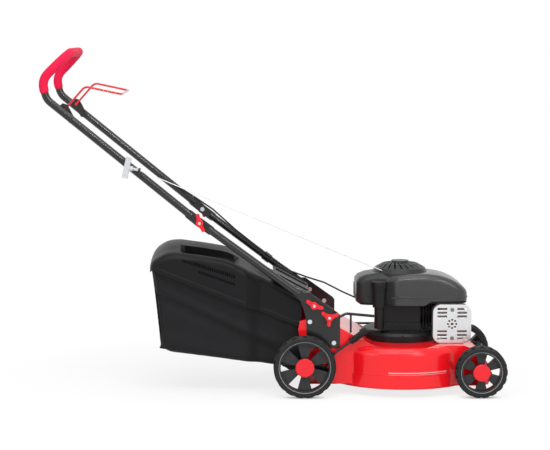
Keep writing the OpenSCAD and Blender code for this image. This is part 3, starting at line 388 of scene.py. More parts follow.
def tyre_rubber():
    """Dull grey-black tread rubber with fine mould lines."""
    return worn_material("Tread rubber", RUBBER_GREY, worn=grey(0.10), grain=(420, 0.0002), rough=0.66,
                         edge=(0.002, 0.5), dust=0.16, dust_colour=(0.20, 0.18, 0.15))


def cable_rubber():
    """Black sleeve of the brake cable."""
    return worn_material("Cable sleeve", (0.016, 0.016, 0.017), worn=grey(0.05), grain=(800, 0.00004),
                         rough=0.42, edge=(0.0006, 0.3), dust=0.05)


def cast_black():
    """Black painted casting with a coarse skin."""
    return worn_material("Painted casting", (0.008, 0.008, 0.009), worn=grey(0.16), grain=(320, 0.00035),
                         rough=0.38, edge=(0.0015, 0.5), dust=0.08)


def flywheel_metal():
    """Rough cast aluminium."""
    return worn_material("Cast aluminium", (0.52, 0.53, 0.54), worn=grey(0.7), grain=(350, 0.0003),
                         rough=0.48, edge=(0.0012, 0.4), dust=0.1, metallic=1.0)


def guard_metal():
    """Bright pressed sheet of the exhaust guard."""
    return worn_material("Guard pressed sheet", GUARD_SILVER, worn=grey(0.5), grain=(500, 0.00006),
                         rough=0.30, edge=(0.002, 0.3), dust=0.03, metallic=0.85)


def muffler_metal():
    """Exhaust steel, dulled by heat."""
    return worn_material("Heated steel", (0.22, 0.20, 0.18), worn=(0.12, 0.07, 0.04), grain=(260, 0.00015),
                         rough=0.45, edge=(0.002, 0.5), dust=0.1, metallic=0.9)


def glazed_white():
    """Glazed insulator of the spark plug."""
    return worn_material("Glazed insulator", (0.78, 0.77, 0.73), worn=(0.6, 0.58, 0.54),
                         grain=(400, 0.00002), rough=0.14, edge=(0.0008, 0.2), dust=0.05)


def foam_sleeve():
    """Soft open-pored foam, crimson."""
    material, tree, shader = start_material("Grip foam", FOAM_CRIMSON, 0.75)
    pores = pattern(tree, "TexVoronoi", Scale=900.0)
    grain = use_group(tree, GRAIN, Scale=300)
    settled = use_group(tree, DUST, Amount=0.05)
    open_pore = ramp(tree, pores.outputs["Distance"], 0.05, 0.5)
    tone = mix_colour(tree, open_pore, shade(FOAM_CRIMSON, 0.62), shade(FOAM_CRIMSON, 1.12))
    patchy = mix_colour(tree, grain.outputs["Patches"], tone, shade(FOAM_CRIMSON, 0.85))
    dusty = mix_colour(tree, settled.outputs["Mask"], patchy, (0.4, 0.2, 0.2))
    tree.links.new(dusty, shader.inputs["Base Color"])
    tree.links.new(spread(tree, grain.outputs["Height"], 0.66, 0.84), shader.inputs["Roughness"])
    bump(tree, shader, open_pore, 0.0003, 0.8)
    set_sockets(shader, {"Sheen Weight": 0.04, "Sheen Roughness": 0.5})
    return material


def bag_fabric():
    """Black woven synthetic cloth of the catcher."""
    material, tree, shader = start_material("Catcher cloth", CLOTH_BLACK, 0.72)
    dark, pale = shade(CLOTH_BLACK, 0.6), shade(CLOTH_BLACK, 1.7)
    thread = lay_weave(tree, shader, 620, dark, pale, rough=(0.62, 0.82), relief=(0.00025, 0.8))
    grain = use_group(tree, GRAIN, Scale=180)
    settled = use_group(tree, DUST, Amount=0.2)
    tone = mix_colour(tree, grain.outputs["Patches"], thread, shade(CLOTH_BLACK, 1.25))
    dusty = mix_colour(tree, settled.outputs["Mask"], tone, (0.12, 0.11, 0.09))
    tree.links.new(dusty, shader.inputs["Base Color"])
    set_sockets(shader, {"Sheen Weight": 0.03, "Sheen Roughness": 0.4})
    return material


def seam_piping():
    """Smooth black edge binding."""
    return worn_material("Seam piping", (0.010, 0.010, 0.011), worn=grey(0.04), grain=(1400, 0.0001),
                         rough=0.52, edge=(0.0006, 0.2), dust=0.15)


def stripe_and_highlight_paint():
    """Pale lines on the deck; the thinner one is a painted highlight along a step in the deck."""
    return worn_material("Deck stripe and painted highlight", (0.72, 0.50, 0.50), worn=(0.5, 0.2, 0.2), grain=(300, 0.00002),
                         rough=0.28, edge=(0.0003, 0.3), dust=0.02)


def recess_painted_shade():
    """Painted shade: darker matt black inside the lid's recesses and behind its slots."""
    return worn_material("Recess painted shade black", (0.0025, 0.0025, 0.0027), worn=grey(0.02),
                         grain=(700, 0.00005), rough=0.8, edge=(0.001, 0.2), dust=0.0, specular=0.1)


def bead_paint():
    """Bright bead round the wheel disc."""
    return worn_material("Rim bead", (0.42, 0.43, 0.44), worn=grey(0.25), grain=(600, 0.00003), rough=0.33,
                         edge=(0.0004, 0.5), dust=0.08)


def braided_rope():
    """White braided starter rope."""
    material, tree, shader = start_material("Starter rope braid", ROPE_WHITE, 0.7)
    dark = shade(ROPE_WHITE, 0.8)
    tone = lay_weave(tree, shader, 900, dark, ROPE_WHITE, rough=(0.6, 0.8), relief=(0.0002, 0.6))
    tree.links.new(tone, shader.inputs["Base Color"])
    return material


SIDES = ((-1, "right"), (1, "left"))
WHEELS = [(end, side) for end in ("rear", "front") for side in ("right", "left")]
WINGS = ["upper_right", "upper_left", "lower_right_rear", "lower_right_front", "lower_left_rear",
         "lower_left_front"]


def at_wheels(part):
    """The names of a part that each wheel has."""
    return [f"{part}_{end}_{side}" for end, side in WHEELS]


FINISHES = {
    deck_paint: ["deck"],
    tube_paint: ["side_brackets", "lower_tubes", "handlebar", "rear_axle", "height_lever", "front_axle",
                 "link_rod", "rope_guide", "stay_bar", "bag_frame", "bail_brackets"],
    bail_paint: ["bail"],
    zinc: ["bolts", "flap_rod", "blade_bolt"],
    bare_steel: ["crankshaft", "blade_adapter"],
    ground_blade: ["blade"],
    cover_plastic: ["engine_shroud"],
    tank_plastic: ["fuel_tank", "starter_housing"],
    black_plastic: ["air_filter", "oil_filler", "fuel_cap", "dipstick_cap", "lever_knob", "rear_flap"],
    lid_plastic: ["bag_lid"],
    rim_plastic: at_wheels("rim"),
    knob_plastic: at_wheels("cap") + ["wing_" + place for place in WINGS],
    grip_plastic: ["starter_grip", "cable_clamp"],
    tyre_rubber: at_wheels("tyre"),
    cable_rubber: ["brake_cable_lower", "brake_cable_upper"],
    cast_black: ["sump", "cylinder_block"],
    flywheel_metal: ["flywheel"],
    guard_metal: ["muffler_guard"],
    muffler_metal: ["muffler"],
    glazed_white: ["spark_plug"],
    foam_sleeve: ["foam_grip"],
    bag_fabric: ["bag_cloth"],
    braided_rope: ["starter_rope"],
    seam_piping: [],
    stripe_and_highlight_paint: [],
    bead_paint: [],
    recess_painted_shade: [],
}
MATERIAL = {}


def dress_nodes():
    """Makes the materials and gives each solid its own; the last four are for pieces made here."""
    for make, names in FINISHES.items():
        material = make()
        MATERIAL[make.__name__] = material
        for name in names:
            NODES[name].data.materials.clear()
            NODES[name].data.materials.append(material)


# ---- mesh helpers
def crease(mesh, degrees):
    """Smooth shading that stays sharp where faces meet at more than the angle."""
    work = bmesh.new()
    work.from_mesh(mesh)
    for edge in work.edges:
        edge.smooth = len(edge.link_faces) == 2 and edge.calc_face_angle(0.0) <= math.radians(degrees)
    work.to_mesh(mesh)
    work.free()


def smooth_faces(mesh):
    """Smooth shading over the whole mesh."""
    for face in mesh.polygons:
        face.use_smooth = True


def smooth_solids():
    """Smooth shading of the solids' curved faces."""
    for solid in NODES.values():
        smooth_faces(solid.data)
        crease(solid.data, 28)


def finished_mesh(work, name):
    """Turns a working mesh into a named one."""
    mesh = bpy.data.meshes.new(name)
    work.to_mesh(mesh)
    work.free()
    return mesh


def skin(mesh, rows, closed, flip=False):
    """Faces between each row of points and the next; a closed row joins its last point to its first."""
    for a, b in zip(rows, rows[1:]):
        for k in range(len(a) if closed else len(a) - 1):
            m = (k + 1) % len(a)
            mesh.faces.new((a[k], b[k], b[m], a[m]) if flip else (a[k], a[m], b[m], b[k]))


def closed_skin(name, rings, degrees):
    """A skin through rings of places, capped at both ends, with edges kept sharp above an angle."""
    mesh = bmesh.new()
    rows = [[mesh.verts.new(place) for place in ring] for ring in rings]
    skin(mesh, rows, closed=True)
    mesh.faces.new(rows[0][::-1])
    mesh.faces.new(rows[-1])
    bmesh.ops.recalc_face_normals(mesh, faces=mesh.faces)
    data = finished_mesh(mesh, name)
    crease(data, degrees)
    return data


def new_object(name, data):
    """An object in the scene that shows a mesh, a lamp or a camera."""
    thing = bpy.data.objects.new(name, data)
    bpy.context.collection.objects.link(thing)
    return thing


def new_piece(mesh, material, body=None):
    """An object for a finished mesh, with its name and its material, riding on a body."""
    smooth_faces(mesh)
    piece = new_object(mesh.name, mesh)
    mesh.materials.append(MATERIAL[material])
    if body:
        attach(piece, body)
    return piece


def thicken(piece, thickness, offset):
    """Gives a thin skin a wall of real faces."""
    wall = piece.modifiers.new("wall", "SOLIDIFY")
    wall.thickness = thickness
    wall.offset = offset
    bpy.context.view_layer.update()
    seen = piece.evaluated_get(bpy.context.evaluated_depsgraph_get())
    walled = bpy.data.meshes.new_from_object(seen)
    piece.modifiers.clear()
    piece.data = walled
    smooth_faces(walled)


def tube_mesh(name, points, radii, sides):
    """A tube along points, with one radius or a radius at each."""
    if isinstance(radii, float):
        radii = [radii] * len(points)
    rings = []
    aside = Vector((0, 1, 0))
    last = len(points) - 1
    for row, point in enumerate(points):
        along = (points[min(row + 1, last)] - points[max(row - 1, 0)]).normalized()
        if abs(along.dot(aside)) > 0.95:
            aside = Vector((0, 0, 1)) if abs(along.z) < 0.7 else Vector((1, 0, 0))
        aside = (aside - along * aside.dot(along)).normalized()
        other = along.cross(aside)
        turns = [2 * math.pi * k / sides for k in range(sides)]
        rings.append([point + (aside * math.cos(turn) + other * math.sin(turn)) * radii[row]
                      for turn in turns])
    return closed_skin(name, rings, 180)


def straight(start, end, count):
    """Points along a straight line, in count equal steps."""
    return [start.lerp(end, k / count) for k in range(count + 1)]


def rounded_route(corners, bends, step=0.006):
    """Points along straight runs joined by arcs of the given radii."""
    route = [corners[0].copy()]
    for i in range(1, len(corners) - 1):
        before = (corners[i] - corners[i - 1]).normalized()
        after = (corners[i + 1] - corners[i]).normalized()
        turn = before.angle(after)
        cut = bends[i - 1] * math.tan(turn / 2)
        start = corners[i] - before * cut
        inward = (after - before * before.dot(after)).normalized()
        centre = start + inward * bends[i - 1]
        count = max(4, int(bends[i - 1] * turn / step))
        for k in range(count + 1):
            part = turn * k / count
            route.append(centre - inward * bends[i - 1] * math.cos(part)
                         + before * bends[i - 1] * math.sin(part))
    route.append(corners[-1].copy())
    return route


def spaced(route, step):
    """The same route with its points an even step apart."""
    out = [route[0].copy()]
    left = step
    for a, b in zip(route, route[1:]):
        length = (b - a).length
        done = 0.0
        while length - done >= left:
            done += left
            out.append(a.lerp(b, done / length))
            left = step
        left -= length - done
    if (out[-1] - route[-1]).length > step * 0.3:
        out.append(route[-1].copy())
    else:
        out[-1] = route[-1].copy()
    return out


def wave(x, y, z, seed):
    """Smooth, repeatable unevenness from -1 to 1."""
    return (math.sin(17 * x + 3.1 * seed) * math.cos(13 * y - 1.7 * seed)
            + math.sin(29 * z + 11 * x + seed) * 0.6 + math.sin(41 * y - 23 * z + 2.3 * seed) * 0.4) / 2.0


# ---- soft pieces
REAR_X = sum(corner.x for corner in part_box("tyre_rear_right")) / 2


def spot(x, y, z):
    """A place measured in millimetres from below the rear wheels' middle, at ground level."""
    return Vector((REAR_X + x / 1000, y / 1000, z / 1000))


def foam_route():
    """Corners of the foam sleeve's middle line, from one low end over the crossbar to the other."""
    side = 202
    half = [(-738.75, 874.89), (-747, 912), (-672, 988)]
    right = [spot(x, -side, z) for x, z in half]
    left = [spot(x, side, z) for x, z in reversed(half)]
    return right + left


def make_foam_grip():
    """Soft foam sleeve over the handle's end, a little uneven and rounded at its ends."""
    radius, dents, end_fall, end_rows = 0.0131, 0.00025, 0.16, 2.0
    bends = [0.045, 0.075, 0.075, 0.045]
    route = spaced(rounded_route(foam_route(), bends), 0.004)
    last = len(route) - 1
    radii = []
    for row, point in enumerate(route):
        from_end = min(row, last - row)
        rounded = 1.0 - end_fall * max(0.0, 1 - from_end / end_rows) ** 2
        squeeze = dents * wave(point.x * 1.5, point.y * 1.5, point.z * 1.5, 2)
        radii.append(radius * rounded + squeeze)
    mesh = tube_mesh("grip_foam_sleeve", route, radii, 28)
    piece = new_piece(mesh, "foam_sleeve", "upper_handle")
    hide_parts("foam_grip")


ROPE_EYE = (-472, -221.4, 658)
HOUSING_EYE = (250, -44, 341)
ROPE_RADIUS = 0.00145


def make_starter_rope():
    """Braided rope, held straight between the guide eye and the starter housing."""
    clearance = 0.002
    start = spot(*ROPE_EYE)
    end = spot(*HOUSING_EYE)
    along = (end - start).normalized()
    start = start - along * clearance
    end = end - along * clearance
    mesh = tube_mesh("starter_rope_braid", straight(start, end, 60), ROPE_RADIUS, 10)
    piece = new_piece(mesh, "braided_rope")
    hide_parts("starter_rope")
    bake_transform(piece)


def make_pulled_rope():
    """The short end of rope inside the grip's stem."""
    lift, inside, length = math.radians(12), 0.0044, 0.016
    out = Vector((-math.cos(lift), 0, math.sin(lift)))
    start = spot(*ROPE_EYE) + out * inside
    end = start + out * length
    mesh = tube_mesh("starter_rope_end", straight(start, end, 40), ROPE_RADIUS, 10)
    piece = new_piece(mesh, "braided_rope")
    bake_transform(piece)


def along_line(value, stops):
    """Value read off a line through (place, value) stops."""
    if value <= stops[0][0]:
        return stops[0][1]
    for (x0, y0), (x1, y1) in zip(stops, stops[1:]):
        if value <= x1:
            return y0 + (y1 - y0) * (value - x0) / (x1 - x0)
    return stops[-1][1]


BAG_TOP = [(-442, 371), (-216, 281), (-18, 200.5), (-4, 200)]
BAG_FLOOR = [(-442, 124), (-411, 124), (-250, 103.5), (-91, 81), (-4, 79)]
BAG_BACK = [(124, -411), (152, -418), (300, -434), (345, -439), (367, -442)]
BAG_WIDTH = [(-440, 168), (-176, 168), (-160, 164), (-138, 148), (-126, 144), (0, 144)]


def bag_spot(along, across, up):
    """A place on the catcher's cloth; the inputs run from -1 to 1 over its length, width and height."""
    length, width, height, corner = 436.0, 340.0, 210.0, 30.0
    x = along * length / 2
    y = across * width / 2
    z = up * height / 2
    inner = Vector((max(x, corner - length / 2), max(corner - width / 2, min(y, width / 2 - corner)),
                    max(z, corner - height / 2)))
    away = Vector((x, y, z)) - inner
    if away.length > 1e-6:
        inner += away.normalized() * corner
    share = (inner.z / height + 0.5)
    back = along_line(128 + 250 * share, BAG_BACK)
    place_x = back + (-4 - back) * (inner.x / length + 0.5)
    place_y = inner.y / (width / 2) * along_line(place_x, BAG_WIDTH)
    floor = along_line(place_x, BAG_FLOOR)
    top = along_line(place_x, BAG_TOP)
    place_z = floor + (top - floor) * share
    middle = max(0.0, 1 - abs(inner.y / (width / 2)) ** 2)
    sides = max(0.0, 1 - abs(2 * share - 1) ** 2)
    open_end = 1 - (inner.x / length + 0.5) ** 6
    if share < 0.05:
        sag = 2.5 * (1 - middle) * open_end
        place_z += sag + 1.6 * wave(place_x / 90, place_y / 90, 0, 5) * middle
    if abs(across) > 0.9:
        # Side panels are drawn in, with a crease that slants across them and an upright one at the back.
        pull = 9.0 * sides * open_end
        fold = 4.5 * wave(place_x / 700, place_z / 900, place_z / 500, 3) * sides
        slant = (place_z - 300) * 0.90 + (place_x + 400) * 0.43
        crossing = 9.0 * math.exp(-(slant / 12) ** 2) - 4.0 * math.exp(-((slant + 24) / 15) ** 2)
        upright = 3.0 * math.exp(-((place_x + 392 + 0.1 * place_z) / 9) ** 2)
        place_y -= math.copysign(max(0.0, pull + fold - (crossing - upright) * sides * open_end), place_y)
    if along < -0.95:
        place_x += 5.0 * sides * middle + 1.5 * wave(0, place_y / 60, place_z / 70, 7) * middle * sides
    # The sewn corners stand out a little low down at the back.
    ear = max(0.0, abs(across) - 0.8) * 5 * max(0.0, -along - 0.8) * 5
    ear *= math.exp(-((place_z - 139) / 7) ** 2)
    return spot(place_x - 15.0 * ear, place_y * (1 + 0.02 * ear), place_z - 2.0 * ear)


def bag_shell_mesh():
    """The cloth's skin: floor, two sides and back, open above and in front."""
    mesh = bmesh.new()
    known = {}
    long, wide, high = 64, 46, 34

    def corner(place):
        """One point of the skin, made once."""
        if place not in known:
            i, j, k = place
            known[place] = mesh.verts.new(bag_spot(2 * i / long - 1, 2 * j / wide - 1, 2 * k / high - 1))
        return known[place]

    def quad(*places):
        """A face through four points of the skin."""
        mesh.faces.new([corner(place) for place in places])

    for i in range(long):
        for j in range(wide):
            quad((i, j, 0), (i, j + 1, 0), (i + 1, j + 1, 0), (i + 1, j, 0))
        for k in range(high):
            quad((i, 0, k), (i + 1, 0, k), (i + 1, 0, k + 1), (i, 0, k + 1))
            quad((i, wide, k), (i, wide, k + 1), (i + 1, wide, k + 1), (i + 1, wide, k))
    for j in range(wide):
        for k in range(high):
            quad((0, j, k), (0, j, k + 1), (0, j + 1, k + 1), (0, j + 1, k))
    return finished_mesh(mesh, "catcher_cloth")


def make_catcher_cloth():
    """Woven cloth of the grass catcher, drawn in between its seams."""
    piece = new_piece(bag_shell_mesh(), "bag_fabric")
    thicken(piece, 0.0014, -1.0)
    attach(piece, "catcher")
    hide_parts("bag_cloth")


def seam_line(name, path):
    """A sewn piping laid along the cloth."""
    route = [bag_spot(*place) for place in path]
    mesh = tube_mesh(name, spaced(route, 0.006), 0.0022, 8)
    piece = new_piece(mesh, "seam_piping", "catcher")


def make_catcher_seams():
    """Piping along the floor's edges and up the back corners."""
    edge, low = 0.965, -0.955
    for side, label in SIDES:
        along = [(1 - 0.03 * k, side * edge, low) for k in range(62)]
        seam_line("catcher_floor_piping_" + label, along)
        upward = [(low, side * edge, -0.90 + 0.04 * k) for k in range(47)]
        seam_line("catcher_back_piping_" + label, upward)


# ---- moulded covers
def rounded_section(y_low, y_high, z_low, z_high, r_low, r_high, steps=7):
    """A ring with rounded corners, looked at along the mower, as (y, z) pairs."""
    corners = [(y_low + r_low, z_low + r_low, r_low, 180), (y_high - r_low, z_low + r_low, r_low, 270),
               (y_high - r_high, z_high - r_high, r_high, 0), (y_low + r_high, z_high - r_high, r_high, 90)]
    ring = []
    for y, z, r, start in corners:
        for k in range(steps + 1):
            turn = math.radians(start + 90 * k / steps)
            ring.append((y + r * math.cos(turn), z + r * math.sin(turn)))
    return ring


def loft(name, stations, rings):
    """A closed skin through rings of equal length, one at each place along the mower."""
    placed = [[spot(x, y, z) for y, z in ring] for x, ring in zip(stations, rings)]
    return closed_skin(name, placed, 40)


def eased(low, high, count):
    """Places from low to high, closer together near both ends."""
    return [(low + high) / 2 - (high - low) / 2 * math.cos(math.pi * k / count) for k in range(count + 1)]


def round_end(away, radius):
    """How far a round corner lies inside its edge, at a distance from the end."""
    if away >= radius:
        return 0.0
    return radius - math.sqrt(max(0.0, radius ** 2 - (radius - away) ** 2))


COVER_TOP = [(199, 326), (226, 333), (262, 338), (310, 343), (366, 344), (402, 339), (428, 331),
             (450, 320), (468, 307), (479, 296), (483, 286)]
COVER_LOW = [(199, 250), (356, 250), (374, 263), (483, 264)]


def make_engine_cover():
    """Crowned plastic cover over the engine, which falls away in front."""
    rear, front, crank = 199.0, 483.0, 290.0
    bowl_end, bowl_radius, near_side, far_side = 254, 90.5, 104.5, 62.5
    stations = eased(rear + 0.5, front - 0.5, 54)
    rings = []
    for x in stations:
        inset = round_end(front - x, 38.0) + round_end(max(0.0, x - bowl_end), 34.0)
        bowl = math.sqrt(max(1.0, bowl_radius ** 2 - (x - crank) ** 2))
        near, far = (near_side, far_side) if x > bowl_end else (0.0, 0.0)
        near = max(near - inset, bowl if x < crank else 0.0)
        far = max(far - inset, bowl if x < crank + 90 else 0.0)
        low = along_line(x, COVER_LOW)
        top = along_line(x, COVER_TOP)
        soft = min(22.0, (top - low) * 0.42, near * 0.8)
        rings.append(rounded_section(-near, far, low, top, 3.0, soft))
    piece = new_piece(loft("engine_cover", stations, rings), "cover_plastic", "chassis")
    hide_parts("engine_shroud")


def make_cover_lip():
    """The seam that runs round the cover above its lower edge."""
    rear, front, side, level, bend = 256.0, 483.6, 105.0, 275, 38
    run = front - 40 - rear
    route = [spot(rear + run * k / 30, -side, level) for k in range(31)]
    for k in range(1, 13):
        turn = math.radians(90 * k / 12)
        route.append(spot(front - bend + bend * math.sin(turn), bend - side - bend * math.cos(turn), level))
    piece = new_piece(tube_mesh("engine_cover_seam", route, 0.0014, 8), "cover_plastic", "chassis")


TANK_TOP = [(157, 318), (166, 330), (185, 338), (215, 343), (262, 343)]


def turned(name, centre, rings, flutes=0, depth=0.0):
    """A closed turned shape from (radius, height) pairs in mm; flutes cut into its rim."""
    count = 144 if flutes else 64
    rim = rings[0][0] - 1.5
    rows = []
    for radius, height in rings:
        row = []
        for k in range(count):
            turn = 2 * math.pi * k / count
            cut = depth if flutes and math.cos(flutes * turn) < 0 and radius > rim else 0.0
            row.append(spot(centre[0] + (radius - cut) * math.cos(turn),
                            centre[1] + (radius - cut) * math.sin(turn), height))
        rows.append(row)
    return closed_skin(name, rows, 30)


FILLER_CAP = (192, 92)
TANK_LOW = [(157, 256), (170, 249), (262, 246)]


def make_fuel_tank():
    """Rounded tank behind the cover, stepped down on the left for its neck and cap."""
    stations = eased(157.5, 262.0, 26)
    near, far = [], []
    for x in stations:
        inset = round_end(x - 157, 30.0)
        soft = max(4.0, 22.0 - inset * 0.5)
        low = along_line(x, TANK_LOW)
        top = along_line(x, TANK_TOP)
        near.append(rounded_section(-74 + inset, 56, low, top, 10.0, soft))
        far.append(rounded_section(30, 124 - inset, low + 1, min(297, top - 20), 10.0, 9.0))
    for label, rings in (("near", near), ("far", far)):
        piece = new_piece(loft("fuel_tank_" + label, stations, rings), "tank_plastic", "chassis")
        if label == "near":
            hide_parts("fuel_tank")
    neck = turned("fuel_tank_neck", FILLER_CAP, [(24, 290), (24, 301)])
    piece = new_piece(neck, "tank_plastic", "chassis")


def make_fuel_cap():
    """Fluted screw cap on the tank's neck."""
    rings = [(28, 301.5), (28, 311), (27, 313.5), (24, 314.6), (20, 314.6), (19, 313.4)]
    cap = turned("filler_cap", FILLER_CAP, rings, 12, 1.6)
    piece = new_piece(cap, "black_plastic", "fuel_cap")
    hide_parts("fuel_cap")


LID_TOP = [(-447, 373), (-446, 386), (-441, 397), (-433, 408), (-421, 418), (-407, 426), (-392, 430.5),
           (-376, 432), (-361, 432), (-290, 422.5), (-240, 414), (-221.5, 409), (-205, 401.5), (-6, 295.8)]
LID_RIM = [(-447, 360.5), (-436, 363), (-216, 276), (-11, 195), (-6, 206)]
LID_HALF = [(-447, 178), (-170, 178), (-128, 147), (-6, 147)]
RECESS = [(-360, 0), (-346, 24), (-205, 13), (-190, 0)]
LID_FALL = 16
SLOT_PITCH = 6.2
SLOT_FIRST = -353.5
SLOT_WIDTH = 2.9
SLOT_COUNT = 25
LID_END_RADIUS = 34.0
BAND_HEIGHT = 14.5
LIP = 1.3
SHOULDER = ((0.4, 17), (1.8, 12), (5, 6.5), (10, 2.2), (15, 0), (21, 0.4))
RECESS_WALL = ((26, 0.25), (31, 0.75), (37, 1.0))
CROWN_HALF = 141
CROWN_STOPS = ((96, 1), (75, 1), (71, 0), (35, 0), (0, 0))


def lid_stations():
    """Places along the lid: its bends, and both edges of every slot."""
    places = eased(-446.6, -360.0, 18)
    for k in range(SLOT_COUNT):
        edge = SLOT_FIRST + SLOT_PITCH * k
        places += [edge, edge + SLOT_WIDTH]
    places += [-196.0 + 8 * k for k in range(3)]
    places += [-170.0 + 6 * k for k in range(8)]
    places += [-120.0 + 11.3 * k for k in range(11)]
    return sorted(places)


def slot_level(x):
    """Lower edge of the upper row of slots, which falls towards the front."""
    return 390.3 - 2.0 * (x - SLOT_FIRST) / SLOT_PITCH


def lid_section(x):
    """One section of the lid from its right lower edge to the middle, as (y, z) pairs."""
    top = along_line(x, LID_TOP)
    rim = along_line(x, LID_RIM)
    half = along_line(x, LID_HALF) - round_end(x + 447, LID_END_RADIUS)
    band, high = rim + BAND_HEIGHT, top - SHOULDER[0][1]
    first = slot_level(x)
    second = 356.3 - 2.2 * (x - SLOT_FIRST - 52) / SLOT_PITCH
    levels = [second, second + 8, first, first + 12]
    if high - band < 24:
        levels = [band + (high - band) * k / 5 for k in range(1, 5)]
        band = min(band, rim + (top - rim) * 0.3)
    levels = [min(max(level, band + 1 + k), high - 4 + k) for k, level in enumerate(levels)]
    dip = along_line(x, RECESS)
    drop = min(1.0, (top - rim) / 60)
    edge = top - LID_FALL * drop
    profile = [(half + LIP, rim), (half + LIP, rim + (band - rim) * 0.88), (half, band)]
    profile += [(half, min(level, edge - 18 * drop)) for level in levels]
    profile += [(half - inward, edge - down * drop) for inward, down in SHOULDER]
    profile += [(half - inward, edge + 1.5 * drop - dip * share) for inward, share in RECESS_WALL]
    for y, share in CROWN_STOPS:
        profile.append((y, top - LID_FALL * drop * (y / CROWN_HALF) ** 2 - dip * share))
    return profile


def make_catcher_lid():
    """Moulded lid with a band along its edge, side ridges, two hand recesses with painted shade on their
    floors, and rows of slots.
    """
    stations = lid_stations()
    mesh = bmesh.new()
    rows = []
    for x in stations:
        half = lid_section(x)
        whole = [(-y, z) for y, z in half] + [(y, z) for y, z in reversed(half[:-1])]
        rows.append([mesh.verts.new(spot(x, y, z)) for y, z in whole])
    count = len(rows[0])
    for row in range(len(rows) - 1):
        x = (stations[row] + stations[row + 1]) / 2
        column = (x - SLOT_FIRST) / SLOT_PITCH
        in_slot = 0 <= column < SLOT_COUNT and column % 1 < 0.46
        for k in range(count - 1):
            place = min(k, count - 2 - k)
            if in_slot and (place == 5 or place == 3 and column > 8):
                continue
            face = mesh.faces.new((rows[row][k], rows[row + 1][k], rows[row + 1][k + 1], rows[row][k + 1]))
            # The recess floor and its lower wall take the second material, painted shade.
            face.material_index = int(-347 < x < -204 and 15 <= place <= 17)
    mesh.faces.new(rows[0])
    bmesh.ops.recalc_face_normals(mesh, faces=mesh.faces)
    mesh.faces.ensure_lookup_table()
    if max(mesh.faces, key=lambda face: face.calc_center_median().z).normal.z < 0:
        bmesh.ops.reverse_faces(mesh, faces=mesh.faces)
    piece = new_piece(finished_mesh(mesh, "catcher_lid"), "lid_plastic")
    # Second material: painted shade for the recesses.
    piece.data.materials.append(MATERIAL["recess_painted_shade"])
    thicken(piece, 0.0026, -1.0)
    crease(piece.data, 32)
    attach(piece, "catcher")
    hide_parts("bag_lid")


def make_lid_shade_sheets():
    """Painted shade: dark strips inside the lid, behind its rows of slots, that show through them."""
    section = ((166, -46), (168, -15), (168, 15))
    for side, label in SIDES:
        mesh = bmesh.new()
        rows = []
        for k in range(18):
            x = -358 + 10 * k
            rows.append([mesh.verts.new(spot(x, side * (y - 0.02 * k), slot_level(x) + up))
                         for y, up in section])
        skin(mesh, rows, closed=False, flip=True)
        piece = new_piece(finished_mesh(mesh, "lid_painted_shade_sheet_" + label), "recess_painted_shade")
        thicken(piece, 0.0015, 0.0)
        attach(piece, "catcher")


# ---- trim
def surface_tree(node):
    """A search tree over one solid's faces."""
    mesh = NODES[node].data
    places = [vertex.co.copy() for vertex in mesh.vertices]
    return BVHTree.FromPolygons(places, [tuple(face.vertices) for face in mesh.polygons])


def make_deck_stripe(side, label, low, high):
    """A thin pale line along the deck's skirt; the thinner of the two is a painted highlight."""
    rear, front, steps, proud = 0.2416, 0.413, 72, 0.0003
    tree = surface_tree("deck")
    mesh = bmesh.new()
    rows = []
    for step in range(steps + 1):
        x = REAR_X + (rear + (front - rear) * step / steps)
        pair = []
        for z in (low, high):
            hit = tree.ray_cast(Vector((x, side * 0.4, z)), Vector((0, -side, 0)))[0]
            pair.append(mesh.verts.new(hit + Vector((0, side * proud, 0))))
        rows.append(pair)
    skin(mesh, rows, closed=False, flip=side < 0)
    piece = new_piece(finished_mesh(mesh, "deck_stripe_" + label), "stripe_and_highlight_paint", "chassis")


def make_rim_ring(end, label):
    """The bright bead where the tyre meets the wheel disc."""
    low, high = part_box(f"tyre_{end}_{label}")
    rim_low, rim_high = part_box(f"rim_{end}_{label}")
    face = rim_low.y if label == "right" else rim_high.y
    middle = Vector(((low.x + high.x) / 2, face, (low.z + high.z) / 2))
    radius = (rim_high.x - rim_low.x) / 2 - 0.0004
    around, section = 96, 8
    mesh = bmesh.new()
    rings = []
    for k in range(around):
        turn = 2 * math.pi * k / around
        out = Vector((math.cos(turn), 0, math.sin(turn)))
        ring = []
        for m in range(section):
            roll = 2 * math.pi * m / section
            ring.append(mesh.verts.new(middle + out * (radius + 0.0008 * math.cos(roll))
                                       + Vector((0, 0.0006 * math.sin(roll), 0))))
        rings.append(ring)
    skin(mesh, rings + rings[:1], closed=True)
    bmesh.ops.recalc_face_normals(mesh, faces=mesh.faces)
    bead = finished_mesh(mesh, f"rim_bead_{end}_{label}")
    piece = new_piece(bead, "bead_paint", f"wheel_{end}_{label}")


def make_trim():
    """Deck stripes, the thinner a painted highlight along a step in the deck, and the beads round the wheel
    discs.
    """
    for side, label in SIDES:
        make_deck_stripe(side, label, 0.0712, 0.0732)
        # The thinner line is a painted highlight along a step in the deck.
        make_deck_stripe(side, label + "_thin_painted_highlight", 0.0664, 0.0672)
    for end, label in WHEELS:
        make_rim_ring(end, label)


# ---- studio
def seen_directly(tree):
    """1 for rays from the camera, off glossy faces and through glass."""
    path = add_node(tree, "LightPath")
    first = calc(tree, "MAXIMUM", path.outputs["Is Camera Ray"], path.outputs["Is Glossy Ray"])
    return calc(tree, "MAXIMUM", first, path.outputs["Is Transmission Ray"])


def mix_shaders(tree, factor, first, second):
    """A blend of two shaders that becomes the surface."""
    mix = add_node(tree, "MixShader")
    for socket, value in zip(mix.inputs, (factor, first, second)):
        tree.links.new(value, socket)
    tree.links.new(mix.outputs["Shader"], tree.nodes["Material Output"].inputs["Surface"])


def plain_white(tree):
    """White light of strength 1."""
    return add_node(tree, "Emission", Color=(1, 1, 1, 1), Strength=1.0)


